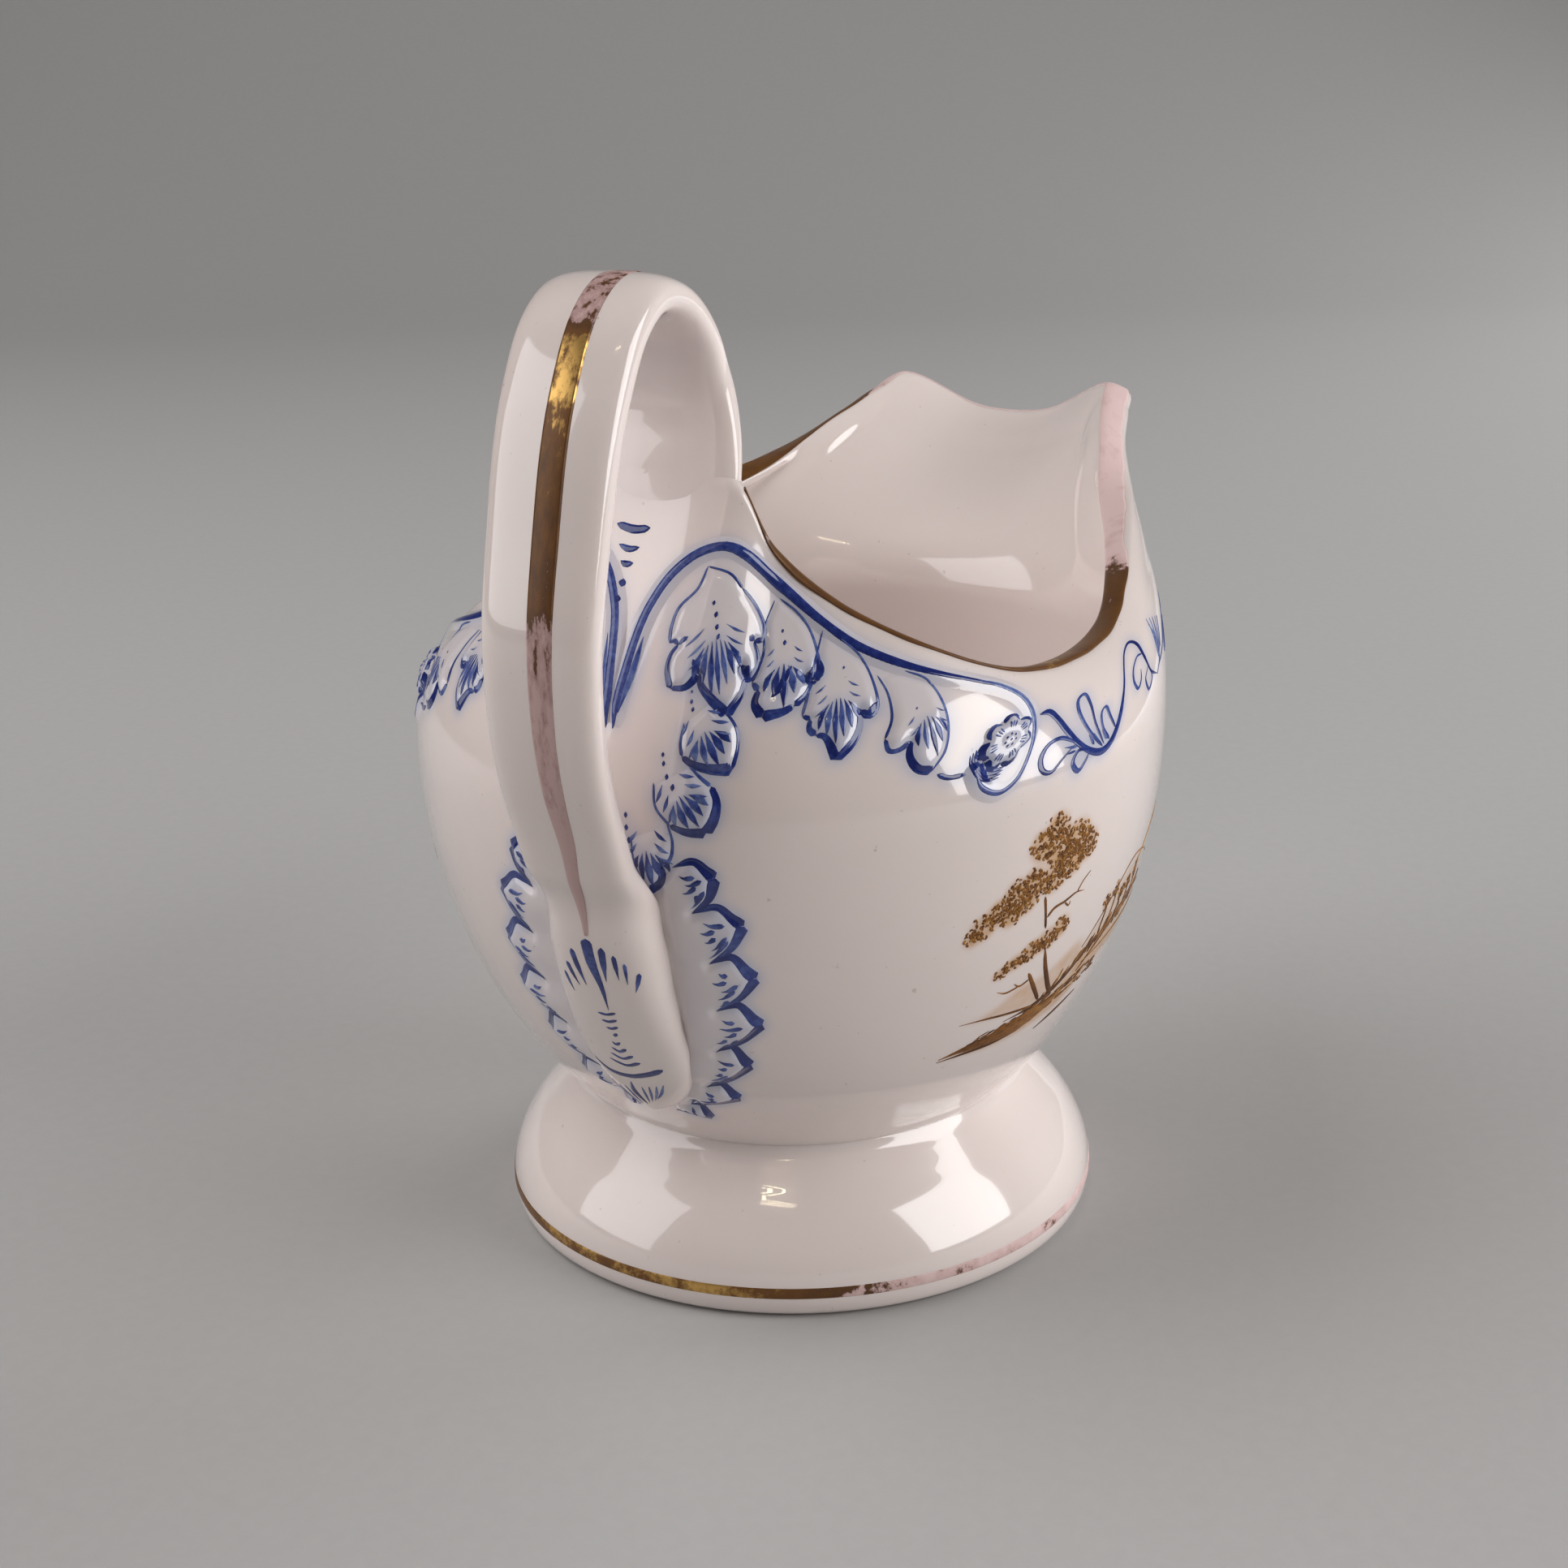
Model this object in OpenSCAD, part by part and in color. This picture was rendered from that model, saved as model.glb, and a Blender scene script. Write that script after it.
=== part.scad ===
/* [Foot] */
// Radius of the ring that the jug stands on
foot_base_r = 34; // [32:0.5:36]
// Widest radius of the foot, a little above the table
foot_wide_r = 35.2; // [34:0.1:37]
// Inner radius of the standing ring, where the hollow of the foot starts
foot_hollow_r = 30.5; // [29:0.5:31]
// Height of the foot up to the seat that carries the bowl
foot_h = 16.8; // [14:0.2:20]
// Radius of the round seat between the foot and the bowl
seat_r = 26.5; // [24:0.5:28]
// Inner radius of the seat ring
seat_hollow_r = 21; // [18:0.5:23]

/* [Bowl] */
// Widest radius of the bowl
belly_r = 43; // [40:0.5:46]
// Height of the belly at the back, under the handle
belly_back_z = 57; // [54:0.5:60]
// How much higher the belly sits at the front, under the spout
belly_rise = 7; // [4:0.5:9]
// Thickness of the cast wall
wall = 2.7; // [2:0.1:3.2]
// How much thicker the wall gets at the back of the rim, where the handle stands
neck_extra = 2.2; // [1:0.1:2.6]
// Thickness of the bowl's floor
floor_t = 2.6; // [2:0.1:3.2]

/* [Handle] */
// Thickness of the strap
strap_t = 4.4; // [3.8:0.1:5]
// Width of the strap half way down the loop
strap_w = 13; // [11:0.5:14]
// Width of the strap where it stands on the rim
root_w = 18; // [15:0.5:19]
// Width of the palmette pad at the strap's lower end
pad_w = 12.8; // [12:0.2:16]
// Height of the pad's lower tip
pad_tip_z = 24; // [22:0.5:26]

/* [Relief] */
// How far the moulded leaves and petals stand out of the bowl
relief_h = 0.9; // [0.5:0.1:1.2]
// How far the shoulder border stands out of the bowl
border_h = 0.6; // [0.4:0.1:1]
// Width of the raised border that arches round the shoulder
border_w = 2.2; // [1.6:0.1:3]
// Length of the largest hanging leaf
leaf_len = 12.5; // [11:0.5:14]

/* [Gilding] */
// Thickness of the fired gilding, drawn heavier than the real film
gilt_t = 0.15; // [0.1:0.05:0.2]
// Width of the gilt line round the foot
foot_gilt_w = 1.6; // [1:0.1:2]
// Width of the gilt line along the handle
handle_gilt_w = 2.6; // [1.5:0.1:3]

/* [Hidden] */
// Half of the rim's outline from the middle of the lip to the middle of the handle: x, y, z
rim_points = [
    [72, 0, 82], [71.5, 8, 83], [68.5, 16.3, 87], [63, 18.5, 85.8],
    [57, 20.3, 83.8], [50, 22.8, 81.5], [42, 25.6, 79.3], [30, 30, 77],
    [18, 34, 74.5], [7, 36.3, 71.6], [-4, 36.2, 70.8], [-14, 33.3, 71.8],
    [-21, 27.5, 75.3], [-25, 19.5, 79.7], [-27.2, 13, 85.2], [-28.2, 8.5, 92.6],
    [-28.4, 0, 93]
];
// Middle line of the strap from the rim over the top and down to the bowl: x, z
strap_line = [
    [-26, 93], [-25.2, 97.5], [-25.5, 102], [-27.8, 107], [-32, 110.7],
    [-37, 111.6], [-41.6, 108.9], [-45.2, 103.5], [-47.6, 98], [-49.6, 91],
    [-51.7, 82], [-52, 74], [-51, 67], [-48.6, 60], [-46, 53],
    [-44.2, 46], [-41.9, 39], [-38.8, 32], [-36, 27], [-33.9, 24]
];
rim_samples = 96;        // steps used to measure the rim's length
half_columns = 34;       // facets along half of the rim
low_rows = 8;            // facet rows from the seat to the belly
high_rows = 9;           // facet rows from the belly to the rim
strap_steps = 64;        // facet rings along the strap
strap_sides = 16;        // facets round the strap
step = 0.002;            // step of the slopes that give the surface its normals
foot_facets = 96;        // facets of the turned foot

porcelain = "#e8ddd8";
cobalt = "#46609f";
gold = "#b98d35";

// ---- Curves ----

function mix(a, b, f) = a + (b - a) * f;
function ease(a, b, x) = let (f = min(1, max(0, (x - a) / (b - a)))) f * f * (3 - 2 * f);
function unit(v) = v / max(norm(v), 1e-9);

// Triangles from a hub to each edge of a row of points
function fan(hub, row) = [for (i = [0:len(row) - 2]) [hub, row[i], row[i + 1]]];
function backwards(row) = [for (i = [len(row) - 1:-1:0]) row[i]];

// A smooth curve through four neighbouring points
function spline(a, b, c, d, f) =
    0.5 * (2 * b + (c - a) * f + (2 * a - 5 * b + 4 * c - d) * f * f
        + (3 * b - a - 3 * c + d) * f * f * f);

// A point on an open curve through a list of points, u from 0 to 1
function along(points, u) =
    let (
        last = len(points) - 1,
        i = min(last - 1, floor(u * last)),
        f = u * last - i,
        a = i == 0 ? 2 * points[0] - points[1] : points[i - 1],
        d = i == last - 1 ? 2 * points[last] - points[last - 1] : points[i + 2]
    )
    spline(a, points[i], points[i + 1], d, f);

// The rim's outline is mirrored at both ends, so that it crosses the middle square on
function mirrored(p) = [p.x, -p.y, p.z];
rim_whole = concat([mirrored(rim_points[1])], rim_points, [mirrored(rim_points[len(rim_points) - 2])]);
function rim(u) =
    let (last = len(rim_points) - 1, i = min(last - 1, max(0, floor(u * last))), f = u * last - i)
    spline(rim_whole[i], rim_whole[i + 1], rim_whole[i + 2], rim_whole[i + 3], f);

// ---- Bowl ----

// s runs from 0 at the lip to 1 at the handle in equal lengths of rim, and t from 0 at the seat
// over 0.5 at the belly to 1 at the rim
rim_lengths = [for (
    i = 0, total = 0;
    i <= rim_samples;
    i = i + 1,
    total = total + norm(rim(min(i, rim_samples) / rim_samples) - rim((i - 1) / rim_samples))
) [total, i / rim_samples]];
rim_total = rim_lengths[rim_samples][0];
function rim_place(s) = lookup(s * rim_total, rim_lengths);
function belly_z(s) = belly_back_z + belly_rise * (1 + cos(180 * s)) / 2;
function heading(s) = [cos(180 * s), sin(180 * s), 0];

// The bowl under the belly is a quarter of an ellipse cut off at the seat
seat_angle = acos(seat_r / belly_r);
function lower(s, t) =
    let (a = seat_angle * (1 - 2 * t), drop = (belly_z(s) - foot_h) / sin(seat_angle))
    heading(s) * belly_r * cos(a) + [0, 0, belly_z(s) - drop * sin(a)];

// The wall above the belly flares to the spout, closes over the shoulder and climbs to the handle
function upper(s, t) =
    let (
        f = 2 * t - 1,
        edge = rim(rim_place(s)),
        outward = unit([edge.x, edge.y, 0]),
        front = 1 - ease(35 / 180, 75 / 180, s),
        back = ease(125 / 180, 165 / 180, s),
        side = 1 - front - back,
        finish = outward * (0.80 * front - 0.87 * side - 0.20 * back)
            + [0, 0, 0.60 * front + 0.50 * side + 0.98 * back],
        p0 = heading(s) * belly_r + [0, 0, belly_z(s)],
        p1 = p0 + [0, 0, 9 * front + 7 * side + 15 * back],
        p2 = edge - finish * (12 * front + 5 * side + 10 * back)
    )
    p0 * pow(1 - f, 3) + p1 * 3 * f * pow(1 - f, 2) + p2 * 3 * f * f * (1 - f) + edge * pow(f, 3);

function skin(s, t) = t < 0.5 ? lower(s, t) : upper(s, t);
function half_skin(s, t) =
    s < 0 ? mirrored(skin(-s, t)) : s > 1 ? mirrored(skin(2 - s, t)) : skin(s, t);
function skin_normal(s, t) =
    let (
        low = max(0, t - step), high = min(1, t + step),
        around = half_skin(s + step, t) - half_skin(s - step, t),
        up = half_skin(s, high) - half_skin(s, low)
    )
    unit(cross(around, up));

// The wall thickness runs square to the skin, and turns level towards the rim's flat top
function inner_skin(s, t) =
    let (
        n = skin_normal(s, t),
        level = unit([n.x, n.y, 0]),
        turn = 0.75 * ease(0.8, 1, t),
        neck = neck_extra * ease(0.91, 0.975, min(s, 2 - s)) * ease(0.8, 1, t)
    )
    half_skin(s, t) - unit(mix(n, level, turn)) * (wall + neck);

columns = 2 * half_columns;
rows = low_rows + high_rows;
function row_t(j) = j <= low_rows ? 0.5 * j / low_rows : 0.5 + 0.5 * (j - low_rows) / high_rows;
function wrap(i) = (i + columns) % columns;

function full_skin(i, j) =
    i <= half_columns ? half_skin(i / half_columns, row_t(j))
                      : mirrored(half_skin((columns - i) / half_columns, row_t(j)));
function full_inner(i, j) =
    i <= half_columns ? inner_skin(i / half_columns, row_t(j))
                      : mirrored(inner_skin((columns - i) / half_columns, row_t(j)));

module body() {
    outer = [for (j = [0:rows]) for (i = [0:columns - 1]) full_skin(i, j)];
    inner = [for (j = [0:rows]) for (i = [0:columns - 1]) full_inner(i, j)];
    first_inner = len(outer);
    under = first_inner + len(inner);
    within = under + 1;
    points = concat(outer, inner, [[0, 0, foot_h], [0, 0, foot_h + floor_t]]);
    quads = [for (j = [0:rows - 1]) for (i = [0:columns - 1])
        [j * columns + i, j * columns + wrap(i + 1), (j + 1) * columns + wrap(i + 1), (j + 1) * columns + i]];
    outside = [for (q = quads) each [[q[0], q[2], q[1]], [q[0], q[3], q[2]]]];
    inside = [for (q = quads) each [
        [q[0] + first_inner, q[1] + first_inner, q[2] + first_inner],
        [q[0] + first_inner, q[2] + first_inner, q[3] + first_inner]]];
    lip = [for (i = [0:columns - 1]) let (
        a = rows * columns + i, b = rows * columns + wrap(i + 1),
        c = a + first_inner, d = b + first_inner) each [[a, d, b], [a, c, d]]];
    base = [for (i = [0:columns - 1]) [i, wrap(i + 1), under]];
    bed = [for (i = [0:columns - 1]) [wrap(i + 1) + first_inner, i + first_inner, within]];
    color(porcelain) polyhedron(points, concat(outside, inside, lip, base, bed), convexity = 6);
}

// ---- Foot ----

function foot_profile() = [
    [foot_base_r, 0],
    [foot_wide_r - 0.3, 1],
    [foot_wide_r, 2.6],
    [foot_wide_r - 0.3, 5],
    [foot_wide_r - 1, 7.2],
    [foot_wide_r - 2.3, 9.6],
    [foot_wide_r - 4.3, 12.2],
    [seat_r + 2.2, foot_h - 2.4],
    [seat_r + 0.8, foot_h - 1],
    [seat_r, foot_h],
    [seat_hollow_r, foot_h],
    [seat_hollow_r + 1.5, foot_h - 3],
    [foot_hollow_r - 3.5, 7],
    [foot_hollow_r - 0.6, 1.6],
    [foot_hollow_r, 0]
];

module foot() {
    color(porcelain) rotate_extrude($fn = foot_facets) polygon(foot_profile());
}

// ---- Handle ----

contact_z = 57;          // height where the strap leaves the bowl
settled_z = 50;          // height below which the strap lies flat against the bowl as a pad
tip_t = 2.2;             // thickness of the pad at its lower tip

function strap_mid(u) = along(strap_line, u);
function strap_heading(u) =
    unit(strap_mid(min(1, u + step)) - strap_mid(max(0, u - step)));

// Height of the rim beside the handle, so that the strap's root follows it
rim_back = [for (i = [0:14]) let (p = rim(1 - i / 100)) [p.y, p.z]];

// Half of the strap's width, from the root over the loop to the pad and its rounded tip
function strap_half(u) =
    let (
        z = strap_mid(u).y,
        upper = mix(root_w, strap_w + 0.8, ease(0, 0.12, u)),
        middle = mix(strap_w + 0.8, strap_w - 1, ease(0.3, 0.7, u)),
        swell = mix(strap_w - 1, pad_w, ease(settled_z + 1, settled_z - 5, z)),
        narrow = sqrt(1 - pow(min(0.99, max(0, (36 - z) / (36 - pad_tip_z + 0.1))), 2.4))
    )
    (u < 0.3 ? upper : z > settled_z + 1 ? middle : swell * narrow) / 2;

// Where the bowl's back wall lies at a height under the belly
function bowl_x(z, y) =
    let (
        drop = (belly_back_z - foot_h) / sin(seat_angle),
        up = min(0, z - belly_back_z) / drop,
        r = belly_r * sqrt(1 - up * up)
    )
    -sqrt(r * r - y * y);

// One point of the strap's section: the broad faces are softly crowned and the edges are round
function strap_point(u, k) =
    let (
        a = 360 * k / strap_sides,
        mid = strap_mid(u), way = strap_heading(u), square = [way.y, -way.x],
        across = strap_half(u) * sign(cos(a)) * pow(abs(cos(a)), 0.6),
        crown = sign(sin(a)) * pow(abs(sin(a)), 0.7),
        settle = ease(contact_z, settled_z, mid.y) * (u > 0.5 ? 1 : 0),
        level = max(settle, ease(0.03, 0, u)),
        facing = [u < 0.5 ? 1 : -1, 0],
        free = mid + mix(square, facing, level) * crown * strap_t / 2,
        pad_t = mix(strap_t, tip_t, ease(settled_z, pad_tip_z, mid.y)),
        laid = bowl_x(mid.y, across) - max(0, crown) * pad_t
    )
    [mix(free.x, laid, settle), across, u == 0 ? lookup(abs(across), rim_back) : free.y];

module handle() {
    rings = [for (j = [0:strap_steps]) for (k = [0:strap_sides - 1]) strap_point(j / strap_steps, k)];
    first = strap_mid(0);
    last = strap_mid(1);
    hubs = [[first.x, 0, rim_back[0][1]], [bowl_x(last.y, 0) - tip_t / 2, 0, last.y]];
    function at(j, k) = j * strap_sides + k % strap_sides;
    walls = [for (j = [0:strap_steps - 1]) for (k = [0:strap_sides - 1]) each [
        [at(j, k), at(j, k + 1), at(j + 1, k)],
        [at(j + 1, k), at(j, k + 1), at(j + 1, k + 1)]]];
    root = fan(len(rings), [for (k = [strap_sides:-1:0]) at(0, k)]);
    tip = fan(len(rings) + 1, [for (k = [0:strap_sides]) at(strap_steps, k)]);
    color(porcelain) polyhedron(concat(rings, hubs), concat(root, walls, tip), convexity = 6);
}

// ---- Relief ----

// A point of an ornament: the place (s, t) on the bowl, moved u round it and v up it in
// millimetres, and raised off the skin
function on_skin(place, u, v, raise) =
    let (
        s = place[0], t = place[1],
        around = norm(half_skin(s + step, t) - half_skin(s - step, t)) / (2 * step),
        up = norm(half_skin(s, min(1, t + step)) - half_skin(s, t - step)) / (min(1, t + step) - t + step),
        s1 = s + u / around, t1 = min(0.995, max(0.005, t + v / up))
    )
    half_skin(s1, t1) + skin_normal(s1, t1) * raise;

// A raised pad with a domed face: outline is a list of [u, v] round the pad's middle
module pad(place, outline, height) {
    n = len(outline);
    inner_share = 0.62;
    points = concat(
        [for (p = outline) on_skin(place, p[0], p[1], 0)],
        [for (p = outline) on_skin(place, p[0], p[1], height * 0.45)],
        [for (p = outline) on_skin(place, p[0] * inner_share, p[1] * inner_share, height)],
        [for (p = outline) on_skin(place, p[0] * inner_share, p[1] * inner_share, 0)],
        [on_skin(place, 0, 0, height), on_skin(place, 0, 0, 0)]);
    top = 4 * n;
    function next(i) = (i + 1) % n;
    faces = [for (i = [0:n - 1]) each [
        [i, n + i, n + next(i)], [i, n + next(i), next(i)],
        [n + i, 2 * n + i, 2 * n + next(i)], [n + i, 2 * n + next(i), n + next(i)],
        [2 * n + i, top, 2 * n + next(i)],
        [3 * n + i, i, next(i)], [3 * n + i, next(i), 3 * n + next(i)],
        [3 * n + next(i), top + 1, 3 * n + i]]];
    polyhedron(points, faces, convexity = 4);
}

// A lobed leaf that hangs from its stalk, turned by lean degrees
leaf_facets = 28;
function leaf_outline(length, width, lean) = [for (i = [0:leaf_facets - 1])
    let (
        a = 360 * i / leaf_facets,
        lobe = 1 + 0.13 * cos(5 * (a - 90)),
        u = width / 2 * sin(a) * lobe * (1 - 0.25 * cos(a)),
        v = length / 2 * cos(a) * (lobe + (cos(a) < -0.85 ? 0.08 : 0))
    )
    [u * cos(lean) - v * sin(lean), u * sin(lean) + v * cos(lean)]];

module leaf(place, length, width, lean) {
    pad(place, leaf_outline(length, width, lean), relief_h);
}

// The arched border: places (s, t) along the shoulder, from beside the handle to the rosette
border_places = [
    [0.985, 0.68], [0.986, 0.74], [0.983, 0.80], [0.974, 0.855], [0.95, 0.89],
    [0.92, 0.92], [0.89, 0.935], [0.855, 0.93], [0.825, 0.912], [0.80, 0.90],
    [0.775, 0.893], [0.75, 0.89], [0.725, 0.89]
];
border_steps = 36;

module border_strip() {
    function middle(i) = along(border_places, i / border_steps);
    function side_step(i) =
        let (
            a = along(border_places, max(0, i - 0.5) / border_steps),
            b = along(border_places, min(border_steps, i + 0.5) / border_steps),
            pa = half_skin(a[0], a[1]), pb = half_skin(b[0], b[1]),
            n = skin_normal(middle(i)[0], middle(i)[1])
        )
        unit(cross(unit(pb - pa), n));
    section = [[-1, 0], [-0.6, 0.7], [0, 1], [0.6, 0.7], [1, 0], [0, 0]];
    m = len(section);
    points = [for (i = [0:border_steps]) let (
            p = middle(i), centre = half_skin(p[0], p[1]), n = skin_normal(p[0], p[1]), w = side_step(i))
        for (q = section) centre + w * q[0] * border_w / 2 + n * q[1] * border_h];
    walls = [for (i = [0:border_steps - 1]) for (k = [0:m - 1]) let (
            a = i * m + k, b = i * m + (k + 1) % m) each [[a, b, a + m], [b, b + m, a + m]]];
    first_row = [for (k = [0:m - 2]) k];
    last_row = [for (k = [0:m - 2]) border_steps * m + k];
    ends = concat(fan(m - 1, backwards(first_row)), fan(border_steps * m + m - 1, last_row));
    color(cobalt) polyhedron(points, concat(walls, ends), convexity = 6);
}

// Four leaves hang under the shoulder border: place, length, width, lean
spray = [
    [[0.934, 0.785], leaf_len, 7, -20],
    [[0.877, 0.80], leaf_len * 0.85, 4, -8],
    [[0.829, 0.785], leaf_len * 0.95, 5.2, -15],
    [[0.774, 0.78], leaf_len * 0.9, 6, -22]
];

// Three leaves follow each other down the bowl beside the handle
drop = [
    [[0.905, 0.615], 4.8, 4.6, -35],
    [[0.922, 0.545], 4.6, 4.6, -35],
    [[0.940, 0.485], 4.4, 4, -25]
];

module leaves(list) {
    color(cobalt) for (one = list) leaf(one[0], one[1], one[2], one[3]);
}

// The frill of scallops down each side of the pad: height on the skin, place round it, width
frill = [
    [0.43, 0.922, 4.8], [0.375, 0.909, 4.8], [0.315, 0.904, 5.2],
    [0.255, 0.90, 5.2], [0.195, 0.91, 5], [0.138, 0.928, 4.6], [0.088, 0.952, 4.2]
];
scallop_facets = 20;

module scallop_frill() {
    color(cobalt) for (one = frill)
        pad([one[1], one[0]], [for (i = [0:scallop_facets - 1])
            let (a = -360 * i / scallop_facets)
            [one[2] * 0.62 * cos(a), one[2] * 0.55 * sin(a)]], relief_h * 0.8);
}

// A rosette of six petals in the curl of the border
petals = 6;
rosette_r = 3.1;
rosette_facets = 36;
module rosette() {
    color(cobalt) pad([0.70, 0.715], [for (i = [0:rosette_facets - 1])
        let (a = -360 * i / rosette_facets, r = rosette_r * (1 + 0.12 * cos(petals * a)))
        [r * cos(a), r * sin(a)]], relief_h * 1.2);
}

module other_side() {
    mirror([0, 1, 0]) children();
}

// ---- Gilding ----

module rim_gilding() {
    function corner(i, raise, k) = let (p = k == 0 ? full_skin(i, rows) : full_inner(i, rows)) p + [0, 0, raise];
    points = [for (raise = [0, gilt_t]) for (k = [0, 1]) for (i = [0:columns - 1]) corner(i, raise, k)];
    function at(layer, k, i) = (2 * layer + k) * columns + wrap(i);
    // The gilding stops at both sides of the handle, which covers the rim's back
    back_columns = 2;
    first = half_columns + back_columns;
    count = columns - 2 * back_columns;
    faces = [for (step_i = [0:count - 1]) let (i = first + step_i) each [
        [at(1, 0, i), at(1, 1, i), at(1, 1, i + 1)], [at(1, 0, i), at(1, 1, i + 1), at(1, 0, i + 1)],
        [at(0, 0, i), at(0, 1, i + 1), at(0, 1, i)], [at(0, 0, i), at(0, 0, i + 1), at(0, 1, i + 1)],
        [at(0, 0, i), at(1, 0, i), at(1, 0, i + 1)], [at(0, 0, i), at(1, 0, i + 1), at(0, 0, i + 1)],
        [at(0, 1, i), at(1, 1, i + 1), at(1, 1, i)], [at(0, 1, i), at(0, 1, i + 1), at(1, 1, i + 1)]]];
    ends = [for (e = [[first, true], [first + count, false]]) let (
            a = at(0, 0, e[0]), b = at(0, 1, e[0]), c = at(1, 1, e[0]), d = at(1, 0, e[0]))
        e[1] ? [a, b, c, d] : [d, c, b, a]];
    color(gold) polyhedron(points, concat(faces, ends), convexity = 6);
}

module handle_gilding() {
    from = 0.24;
    to = 0.74;
    n = 40;
    section = [[-1, 0], [-1, 1], [0, 1], [1, 1], [1, 0], [0, 0]];
    m = len(section);
    points = [for (i = [0:n]) let (
            u = mix(from, to, i / n), mid = strap_mid(u), way = strap_heading(u), out = [way.y, -way.x],
            half = handle_gilt_w / 2 * (1 - 0.75 * ease(0.6, 1, i / n)))
        for (q = section) let (p = mid + out * (strap_t / 2 + q[1] * gilt_t)) [p.x, q[0] * half, p.y]];
    walls = [for (i = [0:n - 1]) for (k = [0:m - 1]) let (
            a = i * m + k, b = i * m + (k + 1) % m) each [[a, a + m, b], [b, a + m, b + m]]];
    first_row = [for (k = [0:m - 2]) k];
    last_row = [for (k = [0:m - 2]) n * m + k];
    ends = concat(fan(m - 1, first_row), fan(n * m + m - 1, backwards(last_row)));
    color(gold) polyhedron(points, concat(walls, ends), convexity = 6);
}

module foot_gilding() {
    low = 2.6;
    color(gold) rotate_extrude($fn = foot_facets) polygon([
        [foot_wide_r, low], [foot_wide_r + gilt_t, low],
        [foot_wide_r + gilt_t - 0.2, low + foot_gilt_w], [foot_wide_r - 0.2, low + foot_gilt_w]]);
}

body();
foot();
handle();
border_strip();  // shoulder_border_left
other_side() border_strip();  // shoulder_border_right
leaves(spray);  // leaf_spray_left
other_side() leaves(spray);  // leaf_spray_right
leaves(drop);  // leaf_drop_left
other_side() leaves(drop);  // leaf_drop_right
scallop_frill();  // scallop_frill_left
other_side() scallop_frill();  // scallop_frill_right
rosette();  // rosette_left
other_side() rosette();  // rosette_right
rim_gilding();
handle_gilding();
foot_gilding();
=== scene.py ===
"""Porcelain cream jug: glazed body, foot and strap handle, moulded leaf relief, painting and worn gilding.

Lengths are in millimetres until make() turns them into metres. +X is the spout, -X the handle, +Z up.
"""
import math
import random

import bpy
import numpy as np
from mathutils import Matrix, Vector


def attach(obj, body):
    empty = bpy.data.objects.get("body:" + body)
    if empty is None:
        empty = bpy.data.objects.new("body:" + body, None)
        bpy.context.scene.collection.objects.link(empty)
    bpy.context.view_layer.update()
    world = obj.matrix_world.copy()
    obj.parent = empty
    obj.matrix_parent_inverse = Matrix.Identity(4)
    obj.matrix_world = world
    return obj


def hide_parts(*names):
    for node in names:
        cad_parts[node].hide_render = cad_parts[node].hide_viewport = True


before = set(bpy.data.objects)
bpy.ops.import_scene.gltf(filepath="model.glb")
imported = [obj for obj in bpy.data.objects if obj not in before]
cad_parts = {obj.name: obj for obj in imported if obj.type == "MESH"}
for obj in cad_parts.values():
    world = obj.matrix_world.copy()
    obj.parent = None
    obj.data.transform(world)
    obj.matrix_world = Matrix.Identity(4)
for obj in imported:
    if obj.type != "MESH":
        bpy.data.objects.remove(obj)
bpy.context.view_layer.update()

MM = 0.001

# ---------------------------------------------------------------- the bowl's surface (millimetres)
RIM = np.array([
    (72, 0, 82), (71.5, 8, 83), (68.5, 16.3, 87), (63, 18.5, 85.8), (57, 20.3, 83.8), (50, 22.8, 81.5),
    (42, 25.6, 79.3), (30, 30, 77), (18, 34, 74.5), (7, 36.3, 71.6), (-4, 36.2, 70.8), (-14, 33.3, 71.8),
    (-21, 27.5, 75.3), (-25, 19.5, 79.7), (-27.2, 13, 85.2), (-28.2, 8.5, 92.6), (-28.4, 0, 93)], float)
SEAT_R, SEAT_Z, BELLY = 26.5, 16.8, 43.0
BELLY_BACK_Z, BELLY_RISE = 57, 7        # height of the belly at the back, and how much higher it is in front
FRONT_ZONE, BACK_ZONE = (35, 75), (125, 165)  # degrees from the lip over which the wall's character changes
SEAT_ANGLE = math.acos(SEAT_R / BELLY)
HALF_GIRTH = 135.0
WALL = 2.7
LIP_SWELL, SWELL_INSIDE = 0.95, 0.6     # how much thicker the spout's edge is outside, and the share inside


def ease(a, b, x):
    f = np.clip((np.asarray(x, float) - a) / (b - a), 0, 1)
    return f * f * (3 - 2 * f)


def unit(v):
    return v / np.maximum(np.linalg.norm(v, axis=-1, keepdims=True), 1e-9)


def spline(points, u, mirrored_ends=False):
    """A smooth curve through points, for u from 0 to 1."""
    points = np.asarray(points, float)
    n = len(points)
    if mirrored_ends:
        flipped = points * np.array([1, -1, 1])
        padded = np.concatenate([[flipped[1]], points, [flipped[-2]]])
    else:
        padded = np.concatenate([[2 * points[0] - points[1]], points, [2 * points[-1] - points[-2]]])
    u = np.asarray(u, float) * (n - 1)
    i = np.clip(np.floor(u).astype(int), 0, n - 2)
    f = (u - i)[..., None]
    a, b, c, d = padded[i], padded[i + 1], padded[i + 2], padded[i + 3]
    square, cube = 2 * a - 5 * b + 4 * c - d, 3 * b - a - 3 * c + d
    return 0.5 * (2 * b + (c - a) * f + square * f ** 2 + cube * f ** 3)


_u = np.linspace(0, 1, 1601)
_line = spline(RIM, _u, True)
_length = np.concatenate([[0], np.cumsum(np.linalg.norm(np.diff(_line, axis=0), axis=1))])
_length /= _length[-1]


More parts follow.
